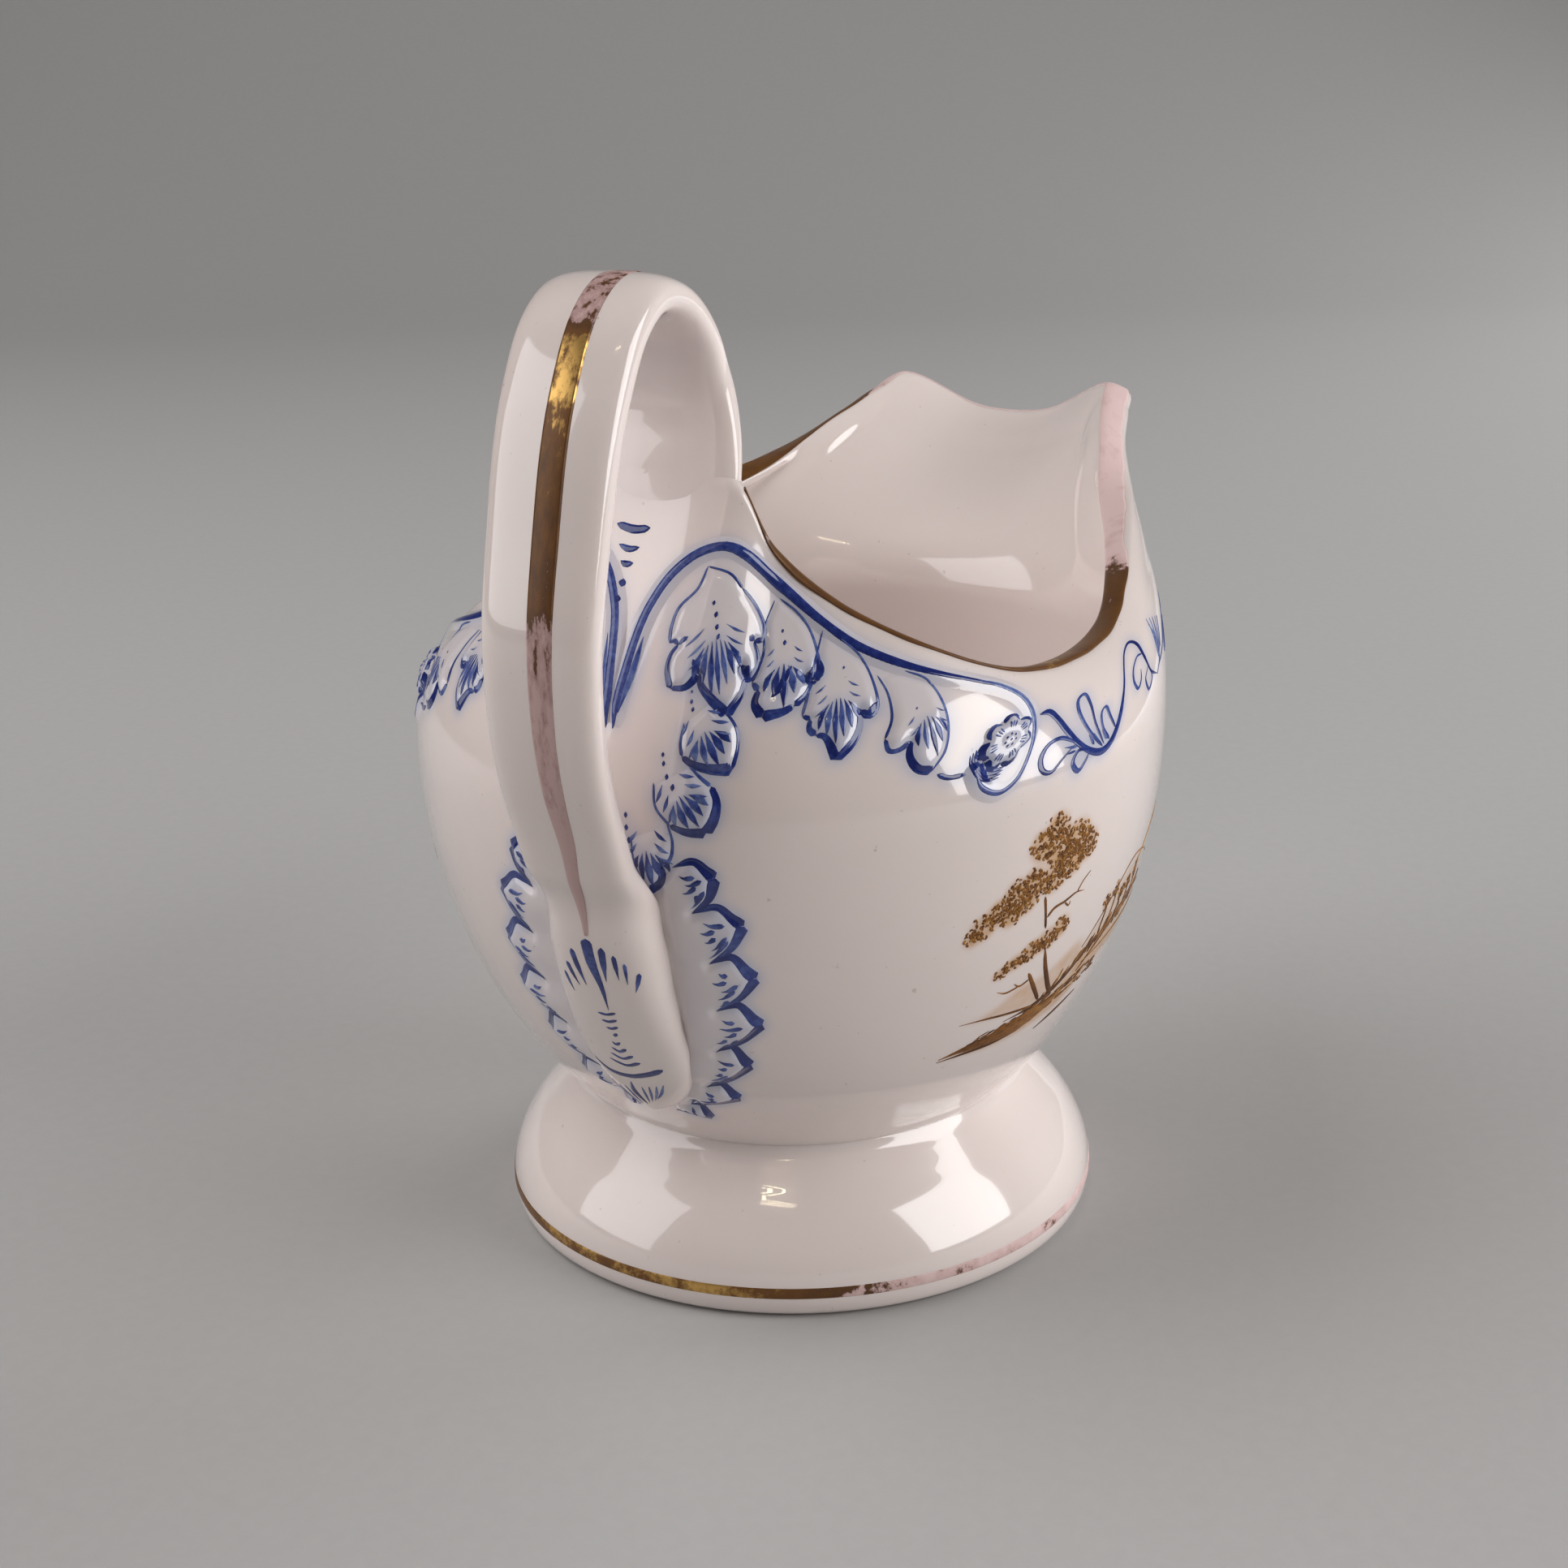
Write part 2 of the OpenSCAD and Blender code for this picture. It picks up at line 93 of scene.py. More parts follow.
def skin(s, t):
    """Outer surface. s: 0 lip, 1 handle, 2 back at the lip. t: 0 seat, 0.5 belly, 1 rim."""
    s, t = np.broadcast_arrays(np.asarray(s, float) % 2, np.asarray(t, float))
    other = s > 1
    s = np.where(other, 2 - s, s)
    rim = spline(RIM, np.interp(s, _length, _u), True)
    angle = np.pi * s
    heading = np.stack([np.cos(angle), np.sin(angle), 0 * s], -1)
    belly_z = BELLY_BACK_Z + BELLY_RISE * (1 + np.cos(angle)) / 2
    a = SEAT_ANGLE * (1 - 2 * np.clip(t, 0, 0.5))
    drop = (belly_z - SEAT_Z) / math.sin(SEAT_ANGLE)
    lower = heading * (BELLY * np.cos(a))[..., None]
    lower[..., 2] = belly_z - drop * np.sin(a)
    f = np.clip(2 * t - 1, 0, 1)[..., None]
    outward = unit(rim * np.array([1, 1, 0]))
    front = 1 - ease(*FRONT_ZONE, 180 * s)
    back = ease(*BACK_ZONE, 180 * s)
    side = 1 - front - back
    finish = outward * (0.80 * front - 0.87 * side - 0.20 * back)[..., None]
    finish[..., 2] = 0.60 * front + 0.50 * side + 0.98 * back
    p0 = heading * BELLY
    p0[..., 2] = belly_z
    p1 = p0.copy()
    p1[..., 2] += 9 * front + 7 * side + 15 * back
    p2 = rim - finish * (12 * front + 5 * side + 10 * back)[..., None]
    upper = (1 - f) ** 3 * p0 + 3 * f * (1 - f) ** 2 * p1 + 3 * f ** 2 * (1 - f) * p2 + f ** 3 * rim
    out = np.where((t < 0.5)[..., None], lower, upper)
    return out * np.where(other, -1, 1)[..., None] ** np.array([0, 1, 0])


def skin_normal(s, t, step=0.002):
    around = skin(np.asarray(s) + step, t) - skin(np.asarray(s) - step, t)
    up = skin(s, np.minimum(1, t + step)) - skin(s, np.maximum(0, t - step))
    return unit(np.cross(around, up))


def inner(s, t):
    """Inner surface: the wall is cast evenly, and thicker at the back of the rim where the handle stands."""
    s, t = np.broadcast_arrays(np.asarray(s, float), np.asarray(t, float))
    n = skin_normal(s, t)
    level = unit(n * np.array([1, 1, 0]))
    turn = (0.75 * ease(0.8, 1, t))[..., None]
    neck = 2.2 * ease(0.91, 0.975, np.where(s > 1, 2 - s, s)) * ease(0.8, 1, t)
    return skin(s, t) - unit(n + (level - n) * turn) * (WALL + neck)[..., None]


def lip_swell(s, t):
    """The wall gets thicker, in millimetres, towards the edge of the spout."""
    half_s = np.where(np.asarray(s) % 2 > 1, 2 - np.asarray(s) % 2, np.asarray(s) % 2)
    return LIP_SWELL * ease(0.84, 0.97, t) * ease(0.58, 0.3, half_s)


# Flat coordinates of the half bowl beside the handle: p is the distance from the handle's middle along the
# belly, q the distance up the wall from the belly.
S_CELLS, T_CELLS = 200, 400
_s_grid = np.linspace(0, 1, S_CELLS + 1)
_t_grid = np.linspace(0, 1, T_CELLS + 1)
_mesh = skin(_s_grid[:, None], _t_grid[None, :])
_steps = np.linalg.norm(np.diff(_mesh, axis=1), axis=2)
_arc = np.concatenate([np.zeros((S_CELLS + 1, 1)), np.cumsum(_steps, axis=1)], axis=1)
_arc -= _arc[:, T_CELLS // 2, None]


def unroll(p, q):
    """Flat millimetres to (s, t)."""
    p, q = np.broadcast_arrays(np.asarray(p, float), np.asarray(q, float))
    s = 1 - p / HALF_GIRTH
    pos = np.clip(s, 0, 1) * S_CELLS
    i = np.clip(np.floor(pos).astype(int), 0, S_CELLS - 1)
    f = pos - i
    flat_i, flat_f, flat_q = i.ravel(), f.ravel(), q.ravel()
    t = np.empty(flat_q.shape)
    for k in np.unique(flat_i):
        pick = flat_i == k
        lo = np.interp(flat_q[pick], _arc[k], _t_grid)
        hi = np.interp(flat_q[pick], _arc[k + 1], _t_grid)
        t[pick] = lo * (1 - flat_f[pick]) + hi * flat_f[pick]
    return s, t.reshape(q.shape)


def flatten(s, t):
    """(s, t) to flat millimetres, for either side."""
    s, t = np.broadcast_arrays(np.asarray(s, float) % 2, np.asarray(t, float))
    s = np.where(s > 1, 2 - s, s)
    pos = s * S_CELLS
    i = np.clip(np.floor(pos).astype(int), 0, S_CELLS - 1)
    f = pos - i
    col = t * T_CELLS
    j = np.clip(np.floor(col).astype(int), 0, T_CELLS - 1)
    g = col - j
    q = ((_arc[i, j] * (1 - g) + _arc[i, j + 1] * g) * (1 - f)
         + (_arc[i + 1, j] * (1 - g) + _arc[i + 1, j + 1] * g) * f)
    return HALF_GIRTH * (1 - s), q


# ---------------------------------------------------------------- mesh helpers
def make(name, verts, faces, attributes=None):
    """A mesh object from millimetre points."""
    mesh = bpy.data.meshes.new(name)
    verts = np.asarray(verts, float) * MM
    faces = [np.asarray(f, int) for f in (faces if isinstance(faces, list) else [faces])]
    counts = np.concatenate([np.full(len(f), f.shape[1]) for f in faces])
    loops = np.concatenate([f.ravel() for f in faces])
    mesh.vertices.add(len(verts))
    mesh.vertices.foreach_set("co", verts.ravel())
    mesh.loops.add(len(loops))
    mesh.loops.foreach_set("vertex_index", loops)
    mesh.polygons.add(len(counts))
    mesh.polygons.foreach_set("loop_start", np.concatenate([[0], np.cumsum(counts)[:-1]]))
    mesh.polygons.foreach_set("loop_total", counts)
    mesh.update(calc_edges=True)
    mesh.validate()
    mesh.polygons.foreach_set("use_smooth", np.ones(len(mesh.polygons), bool))
    for key, values in (attributes or {}).items():
        layer = mesh.attributes.new(key, "FLOAT", "POINT")
        layer.data.foreach_set("value", np.asarray(values, np.float32))
    obj = bpy.data.objects.new(name, mesh)
    bpy.context.scene.collection.objects.link(obj)
    return obj


def loft(m, n):
    """Quads between m rings of n points."""
    j = np.arange(m - 1)[:, None]
    i = np.arange(n)[None, :]
    k = (i + 1) % n
    return np.stack([j * n + i, j * n + k, (j + 1) * n + k, (j + 1) * n + i], -1).reshape(-1, 4)


def fan(hub, ring):
    ring = np.asarray(ring)
    return np.stack([np.full(len(ring), hub), ring, np.roll(ring, -1)], -1)


def strip_ends(n, m, base=0):
    """Fans that close both ends of a strip of n sections with m points each."""
    last = base + (n - 1) * m
    return np.array([[base, base + k + 1, base + k] for k in range(1, m - 1)]
                    + [[last, last + k, last + k + 1] for k in range(1, m - 1)])


def shell_faces(upper, count):
    """A thin closed shell: the upper quads, the same quads count points on, and a wall along open edges."""
    edges = np.concatenate([upper[:, [k, (k + 1) % 4]] for k in range(4)])
    codes, back = edges[:, 0] * count + edges[:, 1], edges[:, 1] * count + edges[:, 0]
    one, two = edges[~np.isin(codes, back)].T
    return np.concatenate([upper, upper[:, ::-1] + count, np.stack([two, one, one + count, two + count], -1)])


def mirrored(verts):
    return np.asarray(verts) * np.array([1, -1, 1])


BOTH_SIDES = (("right", False), ("left", True))


# ---------------------------------------------------------------- relief heights (flat millimetres, one side)
def line_distance(points, p, q):
    """Distance to the line through points."""
    best = np.full(p.shape, 1e9)
    for (ax, ay), (bx, by) in zip(points[:-1], points[1:]):
        dx, dy = bx - ax, by - ay
        h = np.clip(((p - ax) * dx + (q - ay) * dy) / max(dx * dx + dy * dy, 1e-12), 0, 1)
        best = np.minimum(best, np.hypot(p - ax - h * dx, q - ay - h * dy))
    return best


def inside_distance(outline, p, q):
    """Distance to a closed outline, positive inside."""
    ring = np.concatenate([outline, outline[:1]])
    inside = np.zeros(p.shape, bool)
    for (ax, ay), (bx, by) in zip(ring[:-1], ring[1:]):
        if ay != by:
            inside ^= ((ay > q) != (by > q)) & (p < (bx - ax) * (q - ay) / (by - ay) + ax)
    distance = line_distance(ring, p, q)
    return np.where(inside, distance, -distance)


def lookup(field, box, step, p, q):
    """Bilinear lookup in a raster over the flat wall, 0 outside its box."""
    x = np.clip((p - box[0]) / step, 0, field.shape[0] - 1.001)
    y = np.clip((q - box[2]) / step, 0, field.shape[1] - 1.001)
    i, j = np.floor(x).astype(int), np.floor(y).astype(int)
    f, g = x - i, y - j
    out = ((field[i, j] * (1 - g) + field[i, j + 1] * g) * (1 - f)
           + (field[i + 1, j] * (1 - g) + field[i + 1, j + 1] * g) * f)
    return np.where((p >= box[0]) & (p < box[1]) & (q > box[2]) & (q < box[3]), out, 0)


def path(points, n, closed=False):
    """Sample a smooth curve through points."""
    points = np.asarray(points, float)
    if closed:
        points = np.concatenate([points, points[:1]])
    return spline(points, np.linspace(0, 1, n))


def corners(*runs):
    """An outline made of smooth runs that meet in sharp corners."""
    out = []
    for run in runs:
        pts = path(run, 6 * len(run)) if len(run) > 2 else np.asarray(run, float)
        out.append(pts if not out else pts[1:])
    return np.concatenate(out)


# Where the leaves, border and frill lie on the flat wall. These points, like those of the painting below,
# were picked on the photo and turned into millimetres by a scratch script, so they are measured and not
# designed; report.md says more. For each leaf the runs go from the stalk down one edge to the tip, then down
# the other edge, and meet at the notches between lobes.
LEAVES = {
    "spray": [
        {"near": [[(6.5, 29.8), (6.0, 27.4), (4.7, 25.4), (4.4, 23.4), (4.6, 21.6)],
                  [(4.6, 21.6), (5.0, 21.9), (5.5, 21.5)],
                  [(5.5, 21.5), (5.0, 20.4), (5.0, 18.8), (5.7, 17.0)],
                  [(5.7, 17.0), (7.2, 17.2), (8.2, 18.6)],
                  [(8.2, 18.6), (8.8, 17.3), (10.2, 16.0), (12.2, 14.5)]],
         "far": [[(6.5, 29.8), (8.8, 29.2), (10.6, 27.8)],
                 [(10.6, 27.8), (12.7, 26.2), (14.2, 24.3), (14.5, 22.7), (13.5, 22.3)],
                 [(13.5, 22.3), (14.2, 21.0), (14.5, 19.6), (13.8, 18.2), (12.9, 18.9), (12.5, 19.8)],
                 [(13.4, 18.3), (13.3, 16.6), (12.2, 14.5)]],
         "heart": (9.6, 20.6), "stalk": (7.0, 28.6)},
        {"near": [[(15.2, 26.8), (14.5, 24.0), (14.9, 21.0), (14.3, 17.9)],
                  [(14.3, 17.9), (15.1, 17.1)],
                  [(15.1, 17.1), (15.0, 15.6), (16.0, 14.3)]],
         "far": [[(15.8, 27.0), (17.8, 25.6), (19.3, 23.8), (20.4, 21.0), (20.7, 18.9), (20.0, 17.8),
                  (19.4, 18.8)],
                 [(20.2, 17.9), (19.9, 16.6), (19.0, 15.4)],
                 [(19.0, 15.4), (17.8, 14.7), (16.0, 14.3)]],
         "heart": (17.4, 18.6), "stalk": (16.3, 25.2)},
        {"near": [[(20.6, 23.6), (20.2, 20.0), (20.1, 16.6), (19.9, 14.3)],
                  [(19.9, 14.3), (20.7, 13.9)],
                  [(20.7, 13.9), (20.8, 12.8), (21.5, 12.2)],
                  [(21.5, 12.2), (22.5, 11.8), (23.8, 9.5)]],
         "far": [[(22.4, 22.6), (24.6, 20.4), (26.0, 17.4), (26.7, 14.8), (26.1, 13.7), (25.0, 14.8)],
                 [(25.2, 14.3), (25.4, 12.6), (25.0, 11.0), (23.8, 9.5)]],
         "heart": (23.2, 14.6), "stalk": (22.0, 21.0)},
        {"near": [[(26.2, 18.4), (27.4, 16.2), (28.2, 13.4), (28.0, 11.2)],
                  [(28.0, 11.2), (28.6, 9.9), (29.6, 9.9), (30.4, 10.7)],
                  [(30.4, 10.7), (30.7, 9.0), (31.8, 7.6), (33.3, 7.2)]],
         "far": [[(28.6, 18.6), (30.8, 17.4), (32.4, 15.0), (33.6, 12.0), (34.0, 9.2), (33.3, 7.2)]],
         "heart": (31.8, 12.0), "stalk": (29.6, 16.8)},
    ],
    "drop": [
        {"near": [[(7.8, 13.6), (7.8, 11.6), (8.2, 10.2)],
                  [(8.2, 10.2), (9.6, 9.4), (11.6, 9.0), (13.7, 9.0)]],
         "far": [[(10.0, 15.8), (12.2, 14.6), (13.6, 13.0), (14.0, 11.2), (13.7, 9.0)]],
         "heart": (10.8, 11.8), "stalk": (8.8, 15.0)},
        {"near": [[(5.6, 7.4), (6.0, 5.0), (7.6, 3.2)],
                  [(7.6, 3.2), (9.4, 2.6), (11.4, 2.6)]],
         "far": [[(9.1, 9.3), (10.4, 8.2), (11.7, 7.3)],
                 [(11.7, 7.3), (12.4, 5.8), (12.2, 4.0), (11.4, 2.6)]],
         "heart": (9.2, 5.4), "stalk": (7.4, 7.8)},
        {"near": [[(3.4, 1.6), (3.8, -1.4), (5.1, -4.0)]],
         "far": [[(7.3, 3.4), (7.9, 1.6), (7.7, -0.2), (6.7, -1.2)],
                 [(6.7, -1.2), (6.6, -2.8), (5.1, -4.0)]],
         "heart": (5.4, -0.6), "stalk": (5.0, 2.6)},
    ],
}

BORDER = [(0.4, 12.4), (0.7, 17.0), (1.3, 22.8), (2.1, 26.0), (3.4, 28.8), (5.4, 31.0), (7.7, 31.9),
          (10.2, 31.2),
          (13.7, 29.5), (16.7, 27.6), (20.4, 24.6), (24.0, 21.8), (28.3, 19.4), (31.7, 18.0), (34.9, 17.0),
          (38.2, 16.0), (40.8, 14.4), (42.8, 11.4), (43.9, 7.6), (43.6, 4.4), (41.6, 3.2), (39.2, 4.2),
          (37.8, 6.2)]
ROSETTE = (40.3, 9.2)

# The frill of scallops: the notch before each one and its tip
FRILL = [((7.8, -1.2), (12.2, -2.2)), ((9.6, -6.2), (14.9, -7.5)), ((11.0, -12.1), (15.9, -13.8)),
         ((11.2, -18.2), (16.2, -20.0)), ((10.4, -24.2), (14.4, -26.2)), ((8.0, -30.4), (12.2, -32.2)),
         ((4.6, -34.4), (7.0, -37.0))]
FRILL_END = (1.5, -36.4)


def leaf_outline(leaf):
    near = corners(*leaf["near"])
    far = corners(*leaf["far"])
    return np.concatenate([near, far[::-1]])


def scallop_run(k):
    start, tip = FRILL[k]
    end = FRILL[k + 1][0] if k + 1 < len(FRILL) else FRILL_END
    start, tip, end = map(np.array, (start, tip, end))
    rise = start + (tip - start) * np.array([0.45, -0.25]) + np.array([0.2, 0.5])
    bulge = tip * 0.75 + start * 0.25 + np.array([0.35, 0.45])
    back = tip * 0.45 + end * 0.55 + np.array([0.7, -0.1])
    return start, rise, bulge, tip, back, end


def frill_outline():
    pts = []
    for k in range(len(FRILL)):
        start, rise, bulge, tip, back, end = scallop_run(k)
        pts += [path([start, rise, bulge, tip], 16), path([tip, back, end], 12)[1:]]
    inner_edge = [(2.0, -33.0), (4.6, -30.0), (6.6, -24.0), (7.0, -16.0), (6.6, -8.0), (6.2, -3.0)]
    return np.concatenate(pts + [path(inner_edge, 30)])


def rosette_outline():
    a = np.linspace(0, 2 * np.pi, 85)[:-1]
    r = 2.75 * (1 + 0.10 * np.cos(7 * a + 0.6))
    return np.stack([ROSETTE[0] + r * np.cos(a), ROSETTE[1] + r * 1.1 * np.sin(a)], -1)


RELIEF_STEP = 0.25
RELIEF_BOX = (0.0, 47.0, -38.5, 34.0)
rp = np.arange(RELIEF_BOX[0], RELIEF_BOX[1] + 1e-6, RELIEF_STEP)
rq = np.arange(RELIEF_BOX[2], RELIEF_BOX[3] + 1e-6, RELIEF_STEP)
RP, RQ = np.meshgrid(rp, rq, indexing="ij")


def leaf_height(leaf):
    outline = leaf_outline(leaf)
    near = (RP > outline[:, 0].min() - 1) & (RP < outline[:, 0].max() + 1)
    near &= (RQ > outline[:, 1].min() - 1) & (RQ < outline[:, 1].max() + 1)
    h = np.full(RP.shape, -1.0)
    d = inside_distance(outline, RP[near], RQ[near])
    stalk, heart = np.array(leaf["stalk"]), np.array(leaf["heart"])
    along = ((RP[near] - stalk[0]) * (heart - stalk)[0] + (RQ[near] - stalk[1]) * (heart - stalk)[1])
    along /= ((heart - stalk) ** 2).sum()
    swell = 0.35 + 0.65 * ease(-0.2, 1.0, along)
    edge = ease(-0.45, 1.0, d)
    rib = 0.05 * np.cos(2.4 * (RP[near] - heart[0])) * ease(0.2, 1.2, along) * ease(0.3, 1.2, d)
    h[near] = 0.62 * swell * edge + rib - 0.10
    return h


HEIGHTS = {}
for key, leaves in LEAVES.items():
    h = np.full(RP.shape, -1.0)
    for leaf in leaves:
        h = np.maximum(h, leaf_height(leaf))
    HEIGHTS["leaf_" + key] = h

d = inside_distance(frill_outline(), RP, RQ)
toward = ease(-0.45, 1.1, d) * (0.25 + 0.75 * ease(5.0, 12.0, RP + 0.25 * np.abs(RQ + 14)))
ripple = np.zeros(RP.shape)
for k in range(len(FRILL)):
    start, _, _, tip, _, end = scallop_run(k)
    mid = 0.5 * (start + end)
    ripple = np.maximum(ripple, np.exp(-((RQ - (0.55 * mid + 0.45 * tip)[1]) / 2.1) ** 2))
HEIGHTS["scallop_frill"] = 0.75 * toward * (0.55 + 0.45 * ripple) - 0.10

d = inside_distance(rosette_outline(), RP, RQ)
centre = np.hypot(RP - ROSETTE[0], RQ - ROSETTE[1])
HEIGHTS["rosette"] = 0.85 * ease(-0.35, 0.9, d) + 0.25 * ease(1.2, 0.2, centre) - 0.12

border_path = path(BORDER, 160)
d = line_distance(border_path, RP, RQ)
fade = ease(47, 37, RP) * ease(12.2, 15, RQ + 0.6 * RP)
HEIGHTS["shoulder_border"] = 0.55 * ease(1.5, 0.1, d) * fade - 0.10

ALL_HEIGHT = np.maximum.reduce(list(HEIGHTS.values()))


def lift(p, q):
    """Height of the relief above the bowl, never under the glaze."""
    return np.maximum(lookup(ALL_HEIGHT, RELIEF_BOX, RELIEF_STEP, p, q), 0)


# ---------------------------------------------------------------- brush strokes
# A stroke's section: place across it, from -1 to 1, and height over the glaze. The last point is in the wall.
SECTION = ((1, -0.03), (0.75, 0.035), (0.4, 0.05), (0, 0.055), (-0.4, 0.05), (-0.75, 0.035), (-1, -0.03),
           (0, -0.12))


class Paint:
    """Collects brush strokes as thin closed ribbons that follow a surface."""

    def __init__(self, place):
        self.place = place
        self.verts, self.faces, self.tone = [], [], []
        self.stamps = []

    def stroke(self, points, width, tone=0.8, taper=(0.35, 0.25), wobble=0.06, step=0.28, seed=1):
        points = np.asarray(points, float)
        rnd = np.random.RandomState(seed + len(self.verts))
        if len(points) == 2:
            points = np.array([points[0], (points[0] + points[1]) / 2, points[1]])
        rough = spline(points, np.linspace(0, 1, 12 * len(points)))
        gone = np.concatenate([[0], np.cumsum(np.linalg.norm(np.diff(rough, axis=0), axis=1))])
        n = max(5, int(gone[-1] / step) + 1)
        u = np.linspace(0, 1, n)
        line = np.stack([np.interp(u * gone[-1], gone, rough[:, k]) for k in range(2)], -1)
        along = unit(np.gradient(line, axis=0))
        across = np.stack([-along[:, 1], along[:, 0]], -1)
        width = np.atleast_1d(width)
        w = np.interp(u, np.linspace(0, 1, len(width)), width)
        first, last = (np.sqrt(np.clip(f / max(share, 1e-3), 0, 1)) for f, share in zip((u, 1 - u), taper))
        w = w * np.maximum(first * last, 0.10) * (1 + wobble * rnd.randn(n).cumsum() / max(1, math.sqrt(n)))
        half = (w / 2)[:, None]
        ring = []
        for f, height in SECTION:
            pts = line + across * half * f
            ring.append(self.place(pts[:, 0], pts[:, 1], height))
        ring = np.stack(ring, 1)
        base = sum(len(v) for v in self.verts)
        m = ring.shape[1]
        self.verts.append(ring.reshape(-1, 3))
        self.faces += [loft(n, m) + base, strip_ends(n, m, base)]
        t = np.clip(tone + 0.10 * rnd.randn() + 0.16 * np.sin(u * 5 + rnd.rand() * 6), 0, 1)
        self.tone.append(np.repeat(t, m))
        self.stamps.append(np.column_stack([line, w]))

    def dot(self, centre, r, tone=0.8, stretch=1.3, lean=90):
        a = math.radians(lean)
        d = np.array([math.cos(a), math.sin(a)]) * r * stretch
        c = np.array(centre, float)
        self.stroke([c - d, c, c + d], 2 * r, tone, taper=(0.5, 0.5), wobble=0.02, step=0.16)

    def build(self, name, mirror=False):
        verts = np.concatenate(self.verts)
        faces = self.faces
        if mirror:
            verts = mirrored(verts)
            faces = [f[:, ::-1] for f in faces]
        quads = [f for f in faces if f.shape[1] == 4]
        tris = [f for f in faces if f.shape[1] == 3]
        return make(name, verts, [np.concatenate(quads), np.concatenate(tris)],
                    attributes={"tone": np.concatenate(self.tone)})


def on_bowl(p, q, height):
    """Point on the right side (-Y) of the bowl, height above the relief. A negative p is on the left side."""
    s, t = unroll(np.abs(p), q)
    s = np.where(np.asarray(p) >= 0, 2 - s, s)
    return skin(s, t) + skin_normal(s, t) * (lift(np.abs(p), q) + height)[..., None]


# ---------------------------------------------------------------- body
COLUMNS = 640
LOW, HIGH = 130, 110     # rows of points under and over the belly
T_EDGE = 0.975           # where the wall ends and the rounded rim begins
FLOOR_T = 2.6
rows_t = np.concatenate([np.linspace(0, 0.5, LOW, endpoint=False), np.linspace(0.5, T_EDGE, HIGH)])
cols_s = np.linspace(0, 2, COLUMNS, endpoint=False)
S, T = np.meshgrid(cols_s, rows_t)
outer_rows = skin(S, T) + skin_normal(S, T) * lip_swell(S, T)[..., None]


def rim_cap(s, degrees):
    """The rounded top of the wall: 0 degrees at its outer edge, 180 at its inner edge."""
    s, degrees = np.broadcast_arrays(np.asarray(s, float), np.asarray(degrees, float))
    swell = skin_normal(s, T_EDGE) * lip_swell(s, T_EDGE)[..., None]
    edge_out, edge_in = skin(s, T_EDGE) + swell, inner(s, T_EDGE) - SWELL_INSIDE * swell
    middle, half_wall = 0.5 * (edge_out + edge_in), 0.5 * (edge_out - edge_in)
    crest = 0.5 * (skin(s, 1.0) + inner(s, 1.0) + (1 - SWELL_INSIDE) * swell) - middle
    x, z = np.cos(np.radians(degrees)), np.sin(np.radians(degrees))
    x = (np.sign(x) * np.abs(x) ** 0.75)[..., None]
    return middle + half_wall * x + crest * (np.maximum(z, 0) ** 0.6)[..., None]


cap_rows = rim_cap(cols_s[None, :], np.linspace(8, 172, 16)[:, None])
inner_t = np.concatenate([np.linspace(T_EDGE, 0.5, 60), np.linspace(0.5, 0.12, 50)[1:]])
inner_at = cols_s[None, :], inner_t[:, None]
inner_rows = inner(*inner_at) - SWELL_INSIDE * skin_normal(*inner_at) * lip_swell(*inner_at)[..., None]
low_ring = inner_rows[-1]
floor_z = SEAT_Z + FLOOR_T
bed_rows = []
for phi in np.radians(np.linspace(6, 84, 14)):
    row = low_ring * np.cos(phi)
    row[:, 2] = low_ring[:, 2] - (low_ring[:, 2] - floor_z) * np.sin(phi)
    bed_rows.append(row)
grid = np.concatenate([outer_rows, cap_rows, inner_rows, np.array(bed_rows)])
m, n = grid.shape[:2]
body_verts = np.concatenate([grid.reshape(-1, 3), [[0, 0, SEAT_Z], [0, 0, floor_z]]])
quads = loft(m, n)
caps = [fan(m * n, np.arange(n)[::-1]), fan(m * n + 1, (m - 1) * n + np.arange(n))]

# ---------------------------------------------------------------- painting in blue, right side
blue = {key: Paint(on_bowl) for key in
        ("shoulder_border", "leaf_spray", "leaf_drop", "scallop_frill", "rosette", "vine")}


def outline_leaf(paint, leaf, weight=0.9, seed=1):
    """The painter's outline: thin at the stalk, heavy and dark round the lower lobes."""
    for side in ("near", "far"):
        runs = leaf[side]
        for k, run in enumerate(runs):
            low = k / max(1, len(runs) - 1)
            w = weight * (0.40 + 0.75 * low)
            paint.stroke(run, [w * 0.6, w * 0.9, w * 1.2], 0.55 + 0.35 * low, taper=(0.06, 0.06),
                         seed=seed + k)


def vein_fan(paint, leaf, reach, spread, count, weight=0.6, seed=3):
    """Short strokes that fan out towards the tip."""
    heart, stalk = np.array(leaf["heart"]), np.array(leaf["stalk"])
    down = unit((heart - stalk)[None])[0]
    side = np.array([-down[1], down[0]])
    rnd = np.random.RandomState(seed)
    for k in range(count):
        f = (k / (count - 1) - 0.5) * 2 if count > 1 else 0
        start = heart + side * f * spread * 0.45 - down * (1.3 - 0.5 * abs(f)) * reach * 0.3
        end = heart + side * f * spread + down * reach * (1 - 0.55 * abs(f)) * (0.9 + 0.2 * rnd.rand())
        paint.stroke([start, (start + end) / 2 + side * f * 0.15, end],
                     [weight * 0.35, weight, weight * 0.6], 0.45 + 0.4 * rnd.rand(), taper=(0.5, 0.3),
                     seed=seed + k)


